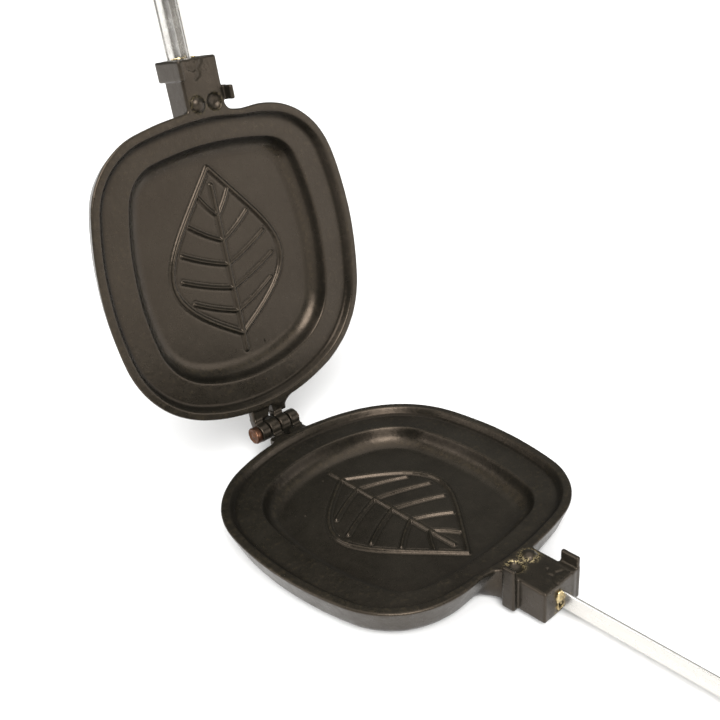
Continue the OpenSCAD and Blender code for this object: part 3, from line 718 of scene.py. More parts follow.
def carve(points, groups, cutters):
    """Cuts closed shapes out of a closed shape."""
    obj = plain_object("blank", points, outward(points, groups))
    tools = []
    for cut_points, cut_groups in cutters:
        tool = plain_object("cutter", cut_points, outward(cut_points, cut_groups))
        tools.append(tool)
        modifier = obj.modifiers.new("carve", "BOOLEAN")
        modifier.operation = "DIFFERENCE"
        modifier.solver = "EXACT"
        modifier.object = tool
    points, faces = take_mesh(obj)
    for tool in tools:
        bpy.data.objects.remove(tool)
    return points, [faces]


def arc(center, radius, start, end, steps):
    """Points along a round stretch, in the plane; angles in degrees."""
    t = np.radians(np.linspace(start, end, steps))
    return np.stack([center[0] + radius * np.cos(t), center[1] + radius * np.sin(t)], 1)


# Carrying a piece from lying flat to its place

def place_lower(points):
    """Half a turn about Z, then to where the hinge joint is."""
    return points * (-1, -1, 1) + HINGE_AT


def place_upper(points):
    """Turned over about Y, opened about the hinge axis, then placed as the lower half is."""
    x, y, z = -points[:, 0], points[:, 1], -points[:, 2]
    cos, sin = math.cos(OPEN_ANGLE), math.sin(OPEN_ANGLE)
    return place_lower(np.stack([x, y * cos - z * sin, y * sin + z * cos], 1))


PLACES = {"lower": place_lower, "upper": place_upper}


def add_piece(name, points, groups, place, material, node, marks=None):
    """Puts a piece in its place, on the body of the node it stands for. The place it had lying flat is kept as the
    attribute laid_flat, and marks holds more attributes by name."""
    placed = place(points)
    obj = plain_object(name, placed, outward(placed, groups))
    flat = obj.data.attributes.new("laid_flat", "FLOAT_VECTOR", "POINT")
    flat.data.foreach_set("vector", points.astype(np.float32).ravel())
    for mark, values in (marks or {}).items():
        attribute = obj.data.attributes.new(mark, "FLOAT", "POINT")
        attribute.data.foreach_set("value", np.asarray(values, np.float32))
    obj.data.materials.append(material)
    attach(obj, BODY_OF[node])
    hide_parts(node)
    return obj


# Materials

def shader(name):
    """A new material with a Principled shader and its output: (material, node tree, shader)."""
    material = bpy.data.materials.new("pie_iron_" + name)
    material.use_nodes = True
    tree = material.node_tree
    return material, tree, tree.nodes["Principled BSDF"]


def feed(tree, node, inputs):
    """Fills a node's inputs: one given as a socket is linked, and any other is set."""
    for key, value in inputs.items():
        if isinstance(value, bpy.types.NodeSocket):
            tree.links.new(value, node.inputs[key])
        else:
            node.inputs[key].default_value = value


def add(tree, kind, inputs=None, **options):
    """Adds a node with its options and inputs."""
    made = tree.nodes.new(kind)
    for key, value in options.items():
        setattr(made, key, value)
    feed(tree, made, inputs or {})
    return made


def full(color, share=1.0):
    """A share of a colour, with its alpha."""
    return (*(v * share for v in color), 1.0)


def object_place(tree):
    return add(tree, "ShaderNodeTexCoord").outputs["Object"]


def flat_place(tree, stretch=(1, 1, 1)):
    """Where the point was while its half lay flat, with each axis stretched."""
    where = add(tree, "ShaderNodeAttribute", attribute_name="laid_flat").outputs["Vector"]
    return add(tree, "ShaderNodeMapping", {"Vector": where, "Scale": stretch}).outputs["Vector"]


def mark(tree, name):
    return add(tree, "ShaderNodeAttribute", attribute_name=name).outputs["Fac"]


def noise(tree, where, scale, detail=2.0, roughness=0.5, distortion=0.0):
    made = add(tree, "ShaderNodeTexNoise", {"Vector": where, "Scale": scale, "Detail": detail,
                                            "Roughness": roughness, "Distortion": distortion})
    return made.outputs["Fac"]


def span(tree, value, low, high, to_low=0.0, to_high=1.0):
    """A value brought from one range to another and held there."""
    made = add(tree, "ShaderNodeMapRange", {"Value": value, "From Min": low, "From Max": high,
                                            "To Min": to_low, "To Max": to_high})
    return made.outputs["Result"]


def maths(tree, operation, a, b):
    return add(tree, "ShaderNodeMath", {0: a, 1: b}, operation=operation).outputs[0]


# Where the colour mix node keeps its factor and its two colours among inputs of other kinds
COLOR_MIX_INPUTS = (0, 6, 7)


def blend(tree, share, a, b):
    """A mix of two colours."""
    made = add(tree, "ShaderNodeMix", data_type="RGBA")
    feed(tree, made, dict(zip(COLOR_MIX_INPUTS, (share, a, b))))
    return made.outputs[2]


def bump(tree, height, strength, distance, under=None):
    inputs = {"Height": height, "Strength": strength, "Distance": distance}
    if under is not None:
        inputs["Normal"] = under
    return add(tree, "ShaderNodeBump", inputs).outputs["Normal"]


# What baked-on oil does to the colour of light that it throws back
OIL_SHEEN = (1.0, 0.78, 0.60)


def iron_material(f):
    """Seasoned cast iron: a fine pebbled skin, darker and lighter patches of baked-on oil, brown on the high spots,
    a rubbed brown rim that is partly a painted highlight, tiny glints, painted shade that darkens the creases and
    weakens their reflection, and braze where flash is."""
    material, tree, out = shader("seasoned_iron")
    where = object_place(tree)
    grain = mark(tree, "grain")
    patches = noise(tree, where, 38.0, detail=4.0, roughness=0.6)
    fine = noise(tree, where, 620.0, detail=3.0, roughness=0.62)
    pebbles = add(tree, "ShaderNodeTexVoronoi", {"Vector": where, "Scale": 560.0, "Smoothness": 0.7},
                  feature="SMOOTH_F1").outputs["Distance"]
    grit = noise(tree, where, 1500.0, detail=2.0, roughness=0.6)
    color = blend(tree, span(tree, patches, 0.33, 0.68), full(f.iron_dark), full(f.iron_light))
    high = maths(tree, "MULTIPLY", span(tree, fine, 0.55, 0.75), span(tree, grain, 0.3, 1.0, 0.1, 0.75))
    color = blend(tree, high, color, full(f.iron_rub_and_rim_highlight))
    # Rubbed brown on the leaf's ridges as wear, and on the rim as wear and a painted highlight both.
    rubbed = maths(tree, "MULTIPLY", mark(tree, "rub_and_rim_highlight"), span(tree, fine, 0.42, 0.66))
    color = blend(tree, rubbed, color, full(f.iron_rub_and_rim_highlight))
    # Painted shade: the creases are darkened toward a fifth of the darkest iron.
    painted_crease_shade = mark(tree, "painted_crease_shade")
    color = blend(tree, maths(tree, "MULTIPLY", painted_crease_shade, 0.7), color, full(f.iron_dark, 0.2))
    flash = maths(tree, "MULTIPLY", mark(tree, "flash"), span(tree, grit, 0.46, 0.6))
    color = blend(tree, flash, color, full(f.bronze))
    gloss = span(tree, noise(tree, where, 210.0, detail=4.0, roughness=0.65), 0.3, 0.72, 0.26, 0.40)
    glints = span(tree, grit, 0.62, 0.74, 0.0, -0.16)
    skin = maths(tree, "ADD", maths(tree, "MULTIPLY", fine, 0.65), maths(tree, "MULTIPLY", pebbles, -0.35))
    skin = maths(tree, "MULTIPLY", skin, span(tree, grain, 0.0, 1.0, 0.12, 1.0))
    soft = bump(tree, skin, 0.75, 0.00011)
    feed(tree, out, {
        "Base Color": color, "Metallic": flash, "Roughness": maths(tree, "ADD", gloss, glints), "IOR": 1.5,
        "Normal": bump(tree, grit, 0.25, 0.00003, soft), "Specular Tint": full(OIL_SHEEN),
        # The painted crease shade also weakens the reflection there, from 0.5 down to 0.1.
        "Specular IOR Level": span(tree, painted_crease_shade, 0.0, 1.0, 0.5, 0.1),
    })
    return material


def steel_material(f):
    """Bright plated steel: faint streaks along the rod, a few dull spots and hair scratches."""
    material, tree, out = shader("bright_steel")
    streaks = noise(tree, flat_place(tree, (900, 14, 900)), 1.0, detail=4.0, roughness=0.6)
    spots = noise(tree, flat_place(tree), 260.0, detail=3.0, roughness=0.6)
    color = blend(tree, span(tree, streaks, 0.25, 0.75), full(f.steel, 0.88), full(f.steel))
    rough = maths(tree, "ADD", span(tree, spots, 0.4, 0.7, 0.2, 0.3), span(tree, streaks, 0.3, 0.7, -0.04, 0.05))
    feed(tree, out, {
        "Base Color": color, "Metallic": 1.0, "Roughness": rough, "Normal": bump(tree, streaks, 0.12, 0.00005),
    })
    return material


def tarnished_material(f, name, color, metallic, rough_low, rough_high, scale):
    """Metal with dark tarnish in patches and a hammered skin."""
    material, tree, out = shader(name)
    where = flat_place(tree)
    patches = noise(tree, where, scale, 4.0, 0.65, 0.4)
    fine = noise(tree, where, scale * 6, detail=3.0, roughness=0.6)
    made = blend(tree, span(tree, patches, 0.48, 0.72), full(color), full(f.tarnish))
    feed(tree, out, {
        "Base Color": made, "Metallic": metallic,
        "Roughness": span(tree, patches, 0.3, 0.75, rough_low, rough_high),
        "Normal": bump(tree, maths(tree, "ADD", fine, patches), 0.4, 0.00008),
    })
    return material


def wood_material(f):
    """Oiled hardwood: rings that run along the grip and wander a little, fine open pores and worn, darker ends."""
    material, tree, out = shader("grip_wood")
    wander = noise(tree, flat_place(tree, (30, 5, 30)), 1.0, detail=2.0, roughness=0.5)
    rings = add(tree, "ShaderNodeTexWave", {
        "Vector": flat_place(tree, (1, 0.06, 0.35)), "Scale": 95.0, "Distortion": 5.5, "Detail": 3.0,
        "Detail Scale": 0.9, "Detail Roughness": 0.6,
    }, wave_type="BANDS", bands_direction="X", wave_profile="SAW").outputs["Fac"]
    pores = noise(tree, flat_place(tree, (2600, 60, 2600)), 1.0, detail=2.0, roughness=0.5)
    share = maths(tree, "ADD", maths(tree, "MULTIPLY", rings, 0.62), maths(tree, "MULTIPLY", wander, 0.45))
    color = blend(tree, share, full(f.wood_light), full(f.wood_dark))
    pore = span(tree, pores, 0.6, 0.72, 0.0, 0.55)
    color = blend(tree, pore, color, full(f.wood_dark, 0.35))
    color = blend(tree, mark(tree, "worn"), color, full(f.wood_dark, 0.45))
    height = maths(tree, "SUBTRACT", maths(tree, "MULTIPLY", rings, 0.2), pore)
    feed(tree, out, {
        "Base Color": color, "Roughness": span(tree, rings, 0.0, 1.0, 0.42, 0.56),
        "Normal": bump(tree, height, 0.35, 0.00012), "Coat Weight": 0.18, "Coat Roughness": 0.3,
    })
    return material


def once(name, make):
    """The material of that name, made if it isn't there yet."""
    return bpy.data.materials.get("pie_iron_" + name) or make()


def tarnished(f, name, *finish):
    """The tarnished metal of that name, with its colour, metallic share, roughnesses and scale."""
    return once(name, lambda: tarnished_material(f, name, *finish))


# Operators, one for each piece or group of like pieces

class PieIronOperator:
    """What every builder shares: the sizes and finishes it reads."""

    bl_options = {"REGISTER", "UNDO"}

    def execute(self, context):
        scene = context.scene
        self.build(scene.pie_iron_casting, scene.pie_iron_handle, scene.pie_iron_finish)
        return {"FINISHED"}


def casting_marks(c, h, points, half):
    """Where the skin is coarse (grain), rubbed brown (rub: worn ridges, and on the rim wear and a painted highlight
    both), darkened by painted shade along the step's foot, inside the recess wall's top edge and round the dome and
    cup (the crease shade mark), and touched by braze (flash). The lower half alone has braze round its dome and
    cup."""
    x, y, z = points.T
    end = plate_end(c)
    deep = inside_outline(c, x, y, c.recess_side, c.recess_hinge_end, c.recess_handle_end)
    face = z + c.parting_gap / 2
    on_floor = smooth((deep - 2 * MM) / (2 * MM)) * (face < 0.7 * -c.ledge_depth)
    on_block = smooth((y - end) / (2 * MM))
    under = smooth((-face - c.casting_depth + 2 * MM) / MM)
    grain = 1 - 0.8 * on_floor - 0.35 * on_block * (1 - on_floor) - 0.25 * under
    floor_height = face + c.recess_depth
    ridge = on_floor * smooth(floor_height / (0.8 * c.line_height) - 0.35)
    edge = inside_outline(c, x, y)
    # The rim band is lightened to rubbed brown as wear and also as a painted highlight along its edge.
    rim = smooth((face + 0.8 * MM) / (0.8 * MM)) * smooth((4 * MM - np.abs(edge - 1 * MM)) / (3 * MM))
    rub_and_rim_highlight = np.clip(0.7 * ridge + 0.35 * rim, 0, 1)
    from_dome = np.hypot(np.abs(x) - c.dome_offset, y - end - c.dome_at)
    round_dome = bell(from_dome - 2.9 * MM, 0.55 * MM) * smooth((face + 1.4 * MM) / MM)
    exit_gap = np.maximum(rod_field(h, x, z, 0.0), 0)
    at_exit = bell(exit_gap, 0.8 * MM) * smooth((y - end - c.block_length + 1.6 * MM) / MM)
    flash = np.clip((0.5 if half == "lower" else 0.08) * round_dome + 0.6 * at_exit, 0, 1)
    # Painted shade: a dark band along the foot of the step down to the ledge, just inside the recess wall's top
    # edge, and in a ring round the dome and the cup.
    in_hollow = smooth((-face - 0.3 * MM) / (0.8 * MM)) * (edge > 0.5 * c.rim_width)
    foot = bell(edge - c.rim_width - c.step_run, 1.0 * MM) * in_hollow
    wall_top_shade = bell(deep - 0.9 * MM, 1.1 * MM) * smooth((-face - c.ledge_depth) / (0.8 * MM))
    ring = bell(from_dome - 2.75 * MM, 0.5 * MM) * (y > end - 2 * MM) * (face > -2.5 * MM)
    painted_crease_shade = np.clip(0.75 * foot + 0.7 * wall_top_shade + 0.95 * ring, 0, 1)
    return {"grain": grain, "rub_and_rim_highlight": rub_and_rim_highlight, "painted_crease_shade": painted_crease_shade, "flash": flash}


class PIEIRON_OT_castings(PieIronOperator, bpy.types.Operator):
    """Builds the lower and upper castings from one shape"""

    bl_idname = "pie_iron.castings"
    bl_label = "Castings"

    def build(self, c, h, f):
        iron = once("seasoned_iron", lambda: iron_material(f))
        points, faces = casting_shape(c, h)
        for half, place in PLACES.items():
            marks = casting_marks(c, h, points, half)
            add_piece(f"{half}_casting", points, [faces], place, iron, f"{half}_plate", marks)


class PIEIRON_OT_pin(PieIronOperator, bpy.types.Operator):
    """Builds the hinge pin with its dished head and hammered tail"""

    bl_idname = "pie_iron.pin"
    bl_label = "Hinge pin"

    def build(self, c, h, f):
        barrel_end = knuckle_spans(c)[1][0] * -1 + h.pin_play
        shaft, head, tail = h.pin_diameter / 2, h.pin_head_diameter / 2, h.pin_tail_diameter / 2
        far = barrel_end + h.pin_head_thickness
        soft = 0.6 * MM
        back = [(-barrel_end - h.pin_tail_thickness * (1 - (r / tail) ** 2 * 0.55), r)
                for r in np.linspace(0.02 * MM, tail - 0.3 * MM, 12)]
        lip = [(-barrel_end - 0.3 * h.pin_tail_thickness, tail - 0.06 * MM), (-barrel_end - 0.12 * MM, tail),
               (-barrel_end, tail - 0.25 * MM), (-barrel_end, shaft)]
        under_head = [(barrel_end, shaft), (barrel_end, head - 0.3 * MM), (barrel_end + 0.2 * MM, head)]
        crown = arc((far - soft, head - soft), soft, 90, 0, 8)
        ring = np.linspace(head - soft, 0.02 * MM, 40)
        dish = 0.34 * MM * bell(ring - 0.58 * head, 0.16 * head)
        boss = 0.22 * MM * smooth(1 - ring / (0.42 * head))
        front = np.stack([far - dish + boss - 0.22 * MM, ring], 1)
        front[:, 0] += 0.22 * MM * smooth((ring - 0.8 * head) / (0.1 * head))
        points, groups = turned(np.vstack([back, lip, under_head, crown, front]))
        x, y, z = points.T
        outer = smooth((np.abs(x) - barrel_end) / (0.3 * MM))
        dent = 0.10 * MM * outer * ripple(x, y, z, 2.6 * MM, 2.2)
        around = np.maximum(np.hypot(y, z), 1e-6)
        points = points + np.stack([dent * np.sign(x), dent * y / around, dent * z / around], 1)
        copper = tarnished(f, "copper_rivet", f.copper, 0.9, 0.3, 0.6, 420.0)
        add_piece("hinge_pin_riveted", points, groups, place_lower, copper, "hinge_pin")


def angle_section(h):
    """Section of the folded rod, once round from the top of its wall: down the inner face, through a wide bend
    along the base, round the base's free edge, back underneath, through the outer bend and up the outer face."""
    right = h.rod_width / 2 - h.rod_offset
    left = -h.rod_width / 2 - h.rod_offset
    top = -h.rod_inset
    low = top - h.rod_depth
    wall = h.rod_wall
    tip, inner, outer = 0.45 * wall, 1.3 * wall, 0.9 * wall
    corner_x, corner_z = right - wall, low + wall
    return np.vstack([
        arc((corner_x + tip, top - tip), tip, 90, 180, 6),
        arc((corner_x - inner, corner_z + inner), inner, 0, -90, 12),
        arc((left + tip, corner_z - tip), tip, 90, 180, 6),
        arc((left + tip, low + tip), tip, 180, 270, 6),
        arc((right - outer, low + outer), outer, -90, 0, 12),
        arc((right - tip, top - tip), tip, 0, 90, 6),
    ])


class PIEIRON_OT_rods(PieIronOperator, bpy.types.Operator):
    """Builds the two folded steel angle rods"""

    bl_idname = "pie_iron.rods"
    bl_label = "Rods"

    def build(self, c, h, f):
        steel = once("bright_steel", lambda: steel_material(f))
        start = block_end(c) - h.socket_depth
        end = h.handle_reach - h.grip_end_wood
        section = angle_section(h)
        along = np.linspace(start, end, 260)[:, None]
        free = smooth((along - start - h.socket_depth) / (30 * MM))
        sway = 0.05 * MM * free * np.sin(along / (41 * MM))
        pinch = 1 + 0.010 * free * np.sin(along / (17 * MM) + 0.7)
        x = section[:, 0] * pinch + sway - h.rod_offset
        z = section[:, 1] + 0.03 * MM * free * np.sin(along / (29 * MM) + 1.9)
        rings = np.stack([x, np.broadcast_to(along, x.shape), z], -1)
        points, groups = loft(rings)
        for half, place in PLACES.items():
            add_piece(f"{half}_angle_rod", points, groups, place, steel, f"{half}_rod")


class PIEIRON_OT_braze(PieIronOperator, bpy.types.Operator):
    """Builds the lumpy braze beads where the rods leave their blocks"""

    bl_idname = "pie_iron.braze"
    bl_label = "Braze beads"

    def build(self, c, h, f):
        braze = tarnished(f, "braze", f.bronze, 1.0, 0.25, 0.5, 700.0)
        end = block_end(c)
        # The rod's section at even distances, with the way out of the metal at each place
        section = angle_section(h)
        loop = np.vstack([section, section[:1]])
        far = np.concatenate([[0], np.cumsum(np.hypot(*np.diff(loop, axis=0).T))])
        at = np.linspace(0, far[-1], 200, endpoint=False)
        path = np.stack([np.interp(at, far, loop[:, 0]), np.interp(at, far, loop[:, 1])], 1)
        away = square_to(np.roll(path, -1, axis=0) - np.roll(path, 1, axis=0))
        u = (at / far[-1] * 2 * math.pi)[:, None]
        v = full_circle(24)
        corner = (h.rod_width / 2 - h.rod_offset, -h.rod_inset - 1.1 * MM)
        for half, (dx, dz) in (("lower", (0, 0)), ("upper", (-0.4 * h.rod_width, -0.9 * h.rod_depth))):
            from_lump = np.hypot(path[:, 0] - corner[0] - dx, path[:, 1] - corner[1] - dz)[:, None]
            lump = bell(from_lump, 1.8 * MM)
            size_u = 0.2 + 0.5 * lump + 0.06 * np.sin(7 * u + 1.0) + 0.05 * np.sin(13 * u + 2.0)
            radius = h.braze_width * size_u * (1 + 0.10 * np.sin(3 * v + 5 * u))
            out = radius * np.cos(v)
            x = path[:, :1] - out * away[:, :1]
            z = path[:, 1:] - out * away[:, 1:]
            y = end + radius * 0.75 * np.sin(v) + 0.15 * MM
            points, groups = loft(np.stack([x, y, z], -1), closed=True)
            add_piece(f"{half}_braze_bead", points, groups, PLACES[half], braze, f"{half}_braze")


FULL_FROM = 0.45
WAIST_AT = 0.72
FULL_AGAIN = 0.88
FRONT_ROUND = 0.8 * MM


def grip_radius(h, y):
    """Radius of the turned grip at a distance from its front end: it swells, draws in to a waist and swells again,
    then rounds off at the end by a quarter circle."""
    straight = h.grip_length - h.grip_end_round
    s = y / straight
    front, top, waist = h.grip_front_radius, h.grip_full_radius, h.grip_waist_radius

    def ease(a, b, t):
        return a + (b - a) * (1 - np.cos(math.pi * np.clip(t, 0, 1))) / 2

    radius = np.where(s < FULL_FROM, ease(front, top, s / FULL_FROM),
                      np.where(s < WAIST_AT, ease(top, waist, (s - FULL_FROM) / (WAIST_AT - FULL_FROM)),
                               ease(waist, top, (s - WAIST_AT) / (FULL_AGAIN - WAIST_AT))))
    past = np.clip((y - straight) / h.grip_end_round, 0, 1)
    early = np.clip((FRONT_ROUND - y) / FRONT_ROUND, 0, 1)
    end_cut = h.grip_end_round * (1 - np.sqrt(1 - past ** 2))
    return radius - end_cut - FRONT_ROUND * (1 - np.sqrt(1 - early ** 2))


def rivet_places(h):
    """How far along the handle each rivet is."""
    first = h.handle_reach - h.grip_length + h.rivet_front
    return first, first + h.rivet_spacing


def rivet_seat(h, y):
    """Half width between the seats of a rivet's two heads."""
    mid = h.rod_inset + h.rod_depth / 2
    radius = float(grip_radius(h, np.array(y - h.handle_reach + h.grip_length)))
    return math.sqrt(radius ** 2 - mid ** 2) - h.rivet_sink


def grip_blank(c, h):
    """The grip before its holes: half a turned handle. Each ring has a flat top, small rounded corners and the
    lower half of a circle, and the rings follow grip_radius."""
    start = h.handle_reach - h.grip_length
    t = np.linspace(0, 1, 150)
    along = h.grip_length * (0.5 - 0.5 * np.cos(math.pi * t)) * 0.35 + h.grip_length * t * 0.65
    radius = grip_radius(h, along)[:, None]
    soft = 0.07
    flat = np.linspace(1 - 1.6 * soft, -1 + 1.6 * soft, 17)
    right = arc((1 - 1.6 * soft, -soft), soft, 60, 90, 4)[:-1]
    left = arc((-1 + 1.6 * soft, -soft), soft, 90, 120, 4)[1:]
    bowl = arc((0, 0), 1, 180 + 6, 360 - 6, 56)
    shoulder_left = arc((-1 + 1.2 * soft, -1.25 * soft), 1.15 * soft, 128, 178, 5)
    shoulder_right = arc((1 - 1.2 * soft, -1.25 * soft), 1.15 * soft, 2, 52, 5)
    section = np.vstack([right, np.stack([flat, np.zeros(17)], 1), left, shoulder_left, bowl, shoulder_right])
    x = section[:, 0] * radius
    z = np.minimum(section[:, 1] * radius, 0) - c.parting_gap / 2
    y = np.broadcast_to((start + along)[:, None], x.shape)
    return loft(np.stack([x, y, z], -1))


def bar(diameter, half, y, z, around=48):
    """A round bar along X, for a hole or a shaft."""
    points, groups = turned([(-half, diameter / 2), (half, diameter / 2)], around)
    return points + (0, y, z), groups


def box(low, high):
    """A plain box as a loft of two rings, to cut with."""
    (x0, y0, z0), (x1, y1, z1) = low, high
    ring = [(x0, z0), (x1, z0), (x1, z1), (x0, z1)]
    return loft(np.array([[(x, y, z) for x, z in ring] for y in (y0, y1)]))


class PIEIRON_OT_grips(PieIronOperator, bpy.types.Operator):
    """Builds the two half-round wooden grips with their rod slots, rivet seats and latch hole"""

    bl_idname = "pie_iron.grips"
    bl_label = "Grips"

    def build(self, c, h, f):
        wood = once("grip_wood", lambda: wood_material(f))
        start = h.handle_reach - h.grip_length
        fit = 0.1 * MM
        rod_top = -h.rod_inset + fit
        rod_mid = -h.rod_inset - h.rod_depth / 2
        reach = h.rod_width / 2 + fit
        slot = box((-h.rod_offset - reach, start - 1 * MM, rod_top - h.rod_depth - 2 * fit),
                   (-h.rod_offset + reach, h.handle_reach - h.grip_end_wood + fit, rod_top))
        for half, place in PLACES.items():
            cutters = [slot]
            for y in rivet_places(h):
                cutters.append(bar(h.rivet_diameter + fit, 2 * h.grip_full_radius, y, rod_mid))
                seat = rivet_seat(h, y)
                for side in (-1, 1):
                    points, groups = bar(h.rivet_head_diameter + fit, h.grip_full_radius, y, rod_mid)
                    cutters.append((points + (side * (seat + h.grip_full_radius), 0, 0), groups))
            if half == "upper":
                y = h.handle_reach - h.latch_from_end
                cutters.append(bar(h.wire_diameter + 2 * fit, 2 * h.grip_full_radius, y, -h.latch_pivot_depth))
            points, groups = carve(*grip_blank(c, h), cutters)
            along = points[:, 1] - start
            near_end = np.exp(-along / (7 * MM)) + np.exp(-(h.grip_length - along) / (9 * MM))
            worn = np.clip(0.5 * near_end + 0.12 * ripple(*points.T, 23 * MM, 3.0), 0, 1)
            add_piece(f"{half}_wooden_grip", points, groups, place, wood, f"{half}_grip", {"worn": worn})


class PIEIRON_OT_rivets(PieIronOperator, bpy.types.Operator):
    """Builds the domed cross rivets of both grips"""

    bl_idname = "pie_iron.rivets"
    bl_label = "Rivets"

    def build(self, c, h, f):
        steel = tarnished(f, "rivet_steel", f.steel, 1.0, 0.28, 0.5, 300.0)
        mid = -h.rod_inset - h.rod_depth / 2
        head, shaft, thick = h.rivet_head_diameter / 2, h.rivet_diameter / 2, h.rivet_head_thickness
        parts = []
        for y in rivet_places(h):
            seat = rivet_seat(h, y)
            r = np.linspace(0.02 * MM, head - 0.1 * MM, 14)
            dome = np.stack([-seat - thick * (0.35 + 0.65 * np.sqrt(1 - (r / head) ** 2)), r], 1)
            rim = [(-seat - 0.3 * thick, head), (-seat - 0.05 * thick, head), (-seat, head - 0.1 * MM),
                   (-seat, shaft)]
            left = np.vstack([dome, rim])
            right = left[::-1] * (-1, 1)
            points, groups = turned(np.vstack([left, right]), 64)
            parts.append((points + (0, y, mid), groups))
        for half, place in PLACES.items():
            add_piece(f"{half}_cross_rivets", *merged(parts), place, steel, f"{half}_grip_rivets")


def rounded_path(corners, radius, steps=10):
    """A path through corners in a plane, with each inner corner turned into an arc of the given radius."""
    path = [np.array(corners[0], float)]
    for before, corner, after in zip(corners, corners[1:], corners[2:]):
        corner = np.array(corner, float)
        a, b = np.array(before) - corner, np.array(after) - corner
        a, b = a / np.linalg.norm(a), b / np.linalg.norm(b)
        half = math.acos(float(np.clip(a @ b, -1, 1))) / 2
        middle = corner + (a + b) / np.linalg.norm(a + b) * radius / math.sin(half)
        start, end = corner + a * radius / math.tan(half), corner + b * radius / math.tan(half)
        for t in np.linspace(0, 1, steps):
            spoke = (start - middle) * (1 - t) + (end - middle) * t
            path.append(middle + spoke / np.linalg.norm(spoke) * radius)
    path.append(np.array(corners[-1], float))
    return np.array(path)


def tube(path, radius, around=24):
    """A round wire along a path in the plane of X and Y: a circle square to the path at each of its points."""
    side = square_to(np.gradient(path, axis=0))
    turn = full_circle(around)
    radius = np.broadcast_to(radius, len(path))[:, None]
    x = path[:, :1] + side[:, :1] * radius * np.cos(turn)
    y = path[:, 1:] + side[:, 1:] * radius * np.cos(turn)
    z = radius * np.sin(turn) * np.ones_like(x)
    return loft(np.stack([x, y, z], -1))


class PIEIRON_OT_latch(PieIronOperator, bpy.types.Operator):
    """Builds the wire bail that swings over the lower grip's end"""

    bl_idname = "pie_iron.latch"
    bl_label = "Wire latch"

    def build(self, c, h, f):
        wire = tarnished(f, "latch_steel", [v * 0.8 for v in f.steel], 1.0, 0.25, 0.48, 160.0)
        radius = h.wire_diameter / 2
        leg_x = h.grip_full_radius + h.latch_gap + radius
        length = h.grip_full_radius + h.latch_pivot_depth + h.latch_gap + radius
        rise = h.grip_full_radius + h.latch_gap + radius - h.latch_pivot_depth
        angle = math.asin(rise / length)
        inner = math.sqrt(h.grip_waist_radius ** 2 - h.latch_pivot_depth ** 2) - h.latch_engagement
        half_path = [(inner, 0), (leg_x, 0), (leg_x, -length), (0, -length)]
        right = rounded_path(half_path[:3], 1.5 * radius)
        bend = rounded_path(half_path[1:], 2 * h.wire_diameter, 14)[1:]
        right = np.vstack([right[:-1], bend])
        path = np.vstack([right[:-1], (right * (-1, 1))[::-1]])
        keep = np.concatenate([[True], np.hypot(*np.diff(path, axis=0).T) > 0.05 * MM])
        path = path[keep]
        tip = np.minimum(np.abs(np.arange(len(path))), np.abs(np.arange(len(path))[::-1]))
        points, groups = tube(path, np.where(tip == 0, radius * 0.8, radius))
        x, y, z = points.T
        y, z = y * math.cos(angle) - z * math.sin(angle), y * math.sin(angle) + z * math.cos(angle)
        pivot = (0, h.handle_reach - h.latch_from_end, -h.latch_pivot_depth)
        add_piece("latch_bail", np.stack([x, y, z], 1) + pivot, groups, place_upper, wire, "latch_wire")


# Where the photograph was taken from, as fitted to both plates' outlines
CAMERA_AT = (-0.16964, -0.19298, 0.19617)
CAMERA_TURN = (60.516, 3.95, -43.604)
CAMERA_LENS = 43.123
CAMERA_SHIFT = (-0.0331, 0.0534)
# Soft lights far away: name, compass angle clockwise from +Y, height angle, how wide each looks, and strength
LIGHTS = (
    ("key", 215.0, 42.0, 40.0, 4.0),
    ("overhead", 220.0, 86.0, 75.0, 1.55),
    ("left_behind", 300.0, 25.0, 30.0, 0.9),
    ("low_right", 140.0, 7.0, 40.0, 0.85),
)
WORLD_COLOR = (1.0, 0.98, 0.95, 1.0)
WORLD_STRENGTH = 0.18
FLOOR_REACH = 12.0


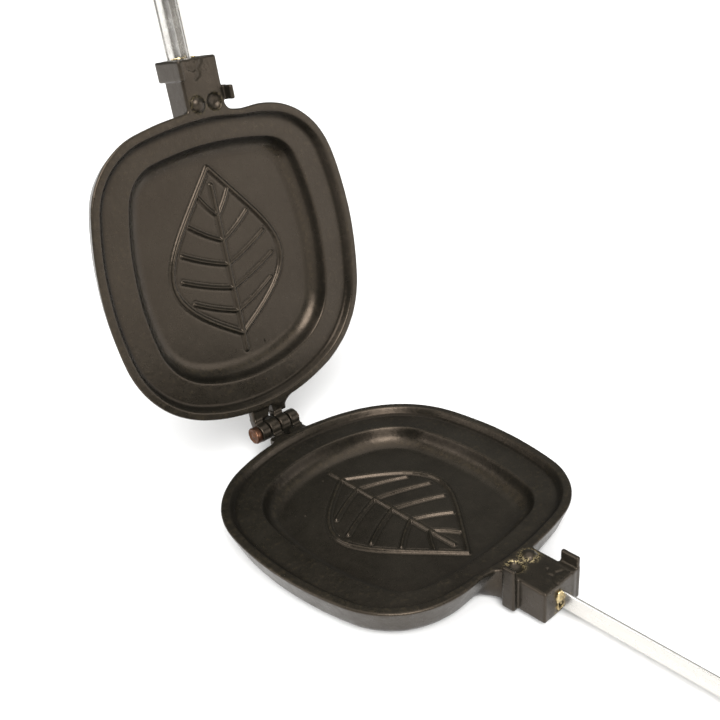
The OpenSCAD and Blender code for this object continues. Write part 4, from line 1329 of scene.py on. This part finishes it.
class PIEIRON_OT_stage(PieIronOperator, bpy.types.Operator):
    """Builds the floor, the soft studio light and the camera"""

    bl_idname = "pie_iron.stage"
    bl_label = "Stage"

    def build(self, c, h, f):
        scene = bpy.context.scene
        material, tree, out = shader("pale_floor")
        where = object_place(tree)
        paper = blend(tree, noise(tree, where, 3.0, 2.0), full(f.floor, 0.985), full(f.floor))
        feed(tree, out, {"Base Color": paper, "Roughness": 0.95, "Specular IOR Level": 0.1})
        reach = FLOOR_REACH
        low = CAD_BOX[0][2]
        corners = np.array([(-reach, -reach, low), (reach, -reach, low), (reach, reach, low), (-reach, reach, low)])
        floor = plain_object("floor", corners, [np.array([[0, 1, 2, 3]])])
        floor.data.materials.append(material)
        for name, compass, height, width, strength in LIGHTS:
            light = bpy.data.lights.new(name, "SUN")
            light.energy = strength
            light.angle = math.radians(width)
            turn, rise = math.radians(compass), math.radians(height)
            source = Vector((math.sin(turn) * math.cos(rise), math.cos(turn) * math.cos(rise), math.sin(rise)))
            lamp = bpy.data.objects.new(name, light)
            lamp.rotation_euler = (-source).to_track_quat("-Z", "Y").to_euler()
            scene.collection.objects.link(lamp)
        world = bpy.data.worlds.new("studio")
        world.use_nodes = True
        backdrop = world.node_tree.nodes["Background"]
        feed(world.node_tree, backdrop, {"Color": WORLD_COLOR, "Strength": WORLD_STRENGTH})
        scene.world = world
        scene.view_settings.view_transform = "Standard"
        camera = bpy.data.cameras.new("camera")
        camera.lens = CAMERA_LENS
        camera.shift_x, camera.shift_y = CAMERA_SHIFT
        camera.clip_start = 0.01
        holder = bpy.data.objects.new("camera", camera)
        holder.location = CAMERA_AT
        holder.rotation_euler = [math.radians(a) for a in CAMERA_TURN]
        scene.collection.objects.link(holder)
        scene.camera = holder


class PIEIRON_PT_panel(bpy.types.Panel):
    """Lists the builders in the 3D view's sidebar"""

    bl_label = "Pie Iron"
    bl_idname = "PIEIRON_PT_panel"
    bl_space_type = "VIEW_3D"
    bl_region_type = "UI"
    bl_category = "Pie Iron"

    def draw(self, context):
        for operator in OPERATORS:
            self.layout.operator(operator.bl_idname, text=operator.bl_label)
        for group in ("pie_iron_casting", "pie_iron_handle", "pie_iron_finish"):
            holder = getattr(context.scene, group)
            column = self.layout.column()
            for name in holder.__annotations__:
                column.prop(holder, name)


OPERATORS = (
    PIEIRON_OT_stage,
    PIEIRON_OT_castings,
    PIEIRON_OT_pin,
    PIEIRON_OT_rods,
    PIEIRON_OT_braze,
    PIEIRON_OT_grips,
    PIEIRON_OT_rivets,
    PIEIRON_OT_latch,
)
GROUPS = {
    "pie_iron_casting": PieIronCasting,
    "pie_iron_handle": PieIronHandle,
    "pie_iron_finish": PieIronFinish,
}


def register():
    for cls in (*GROUPS.values(), *OPERATORS, PIEIRON_PT_panel):
        bpy.utils.register_class(cls)
    for name, group in GROUPS.items():
        setattr(bpy.types.Scene, name, PointerProperty(type=group))


def unregister():
    for name in GROUPS:
        delattr(bpy.types.Scene, name)
    for cls in (PIEIRON_PT_panel, *reversed(OPERATORS), *reversed(GROUPS.values())):
        bpy.utils.unregister_class(cls)


def main():
    """Builds everything in order."""
    register()
    for operator in OPERATORS:
        name = operator.bl_idname.split(".")[1]
        getattr(bpy.ops.pie_iron, name)()


if __name__ == "__main__":
    main()
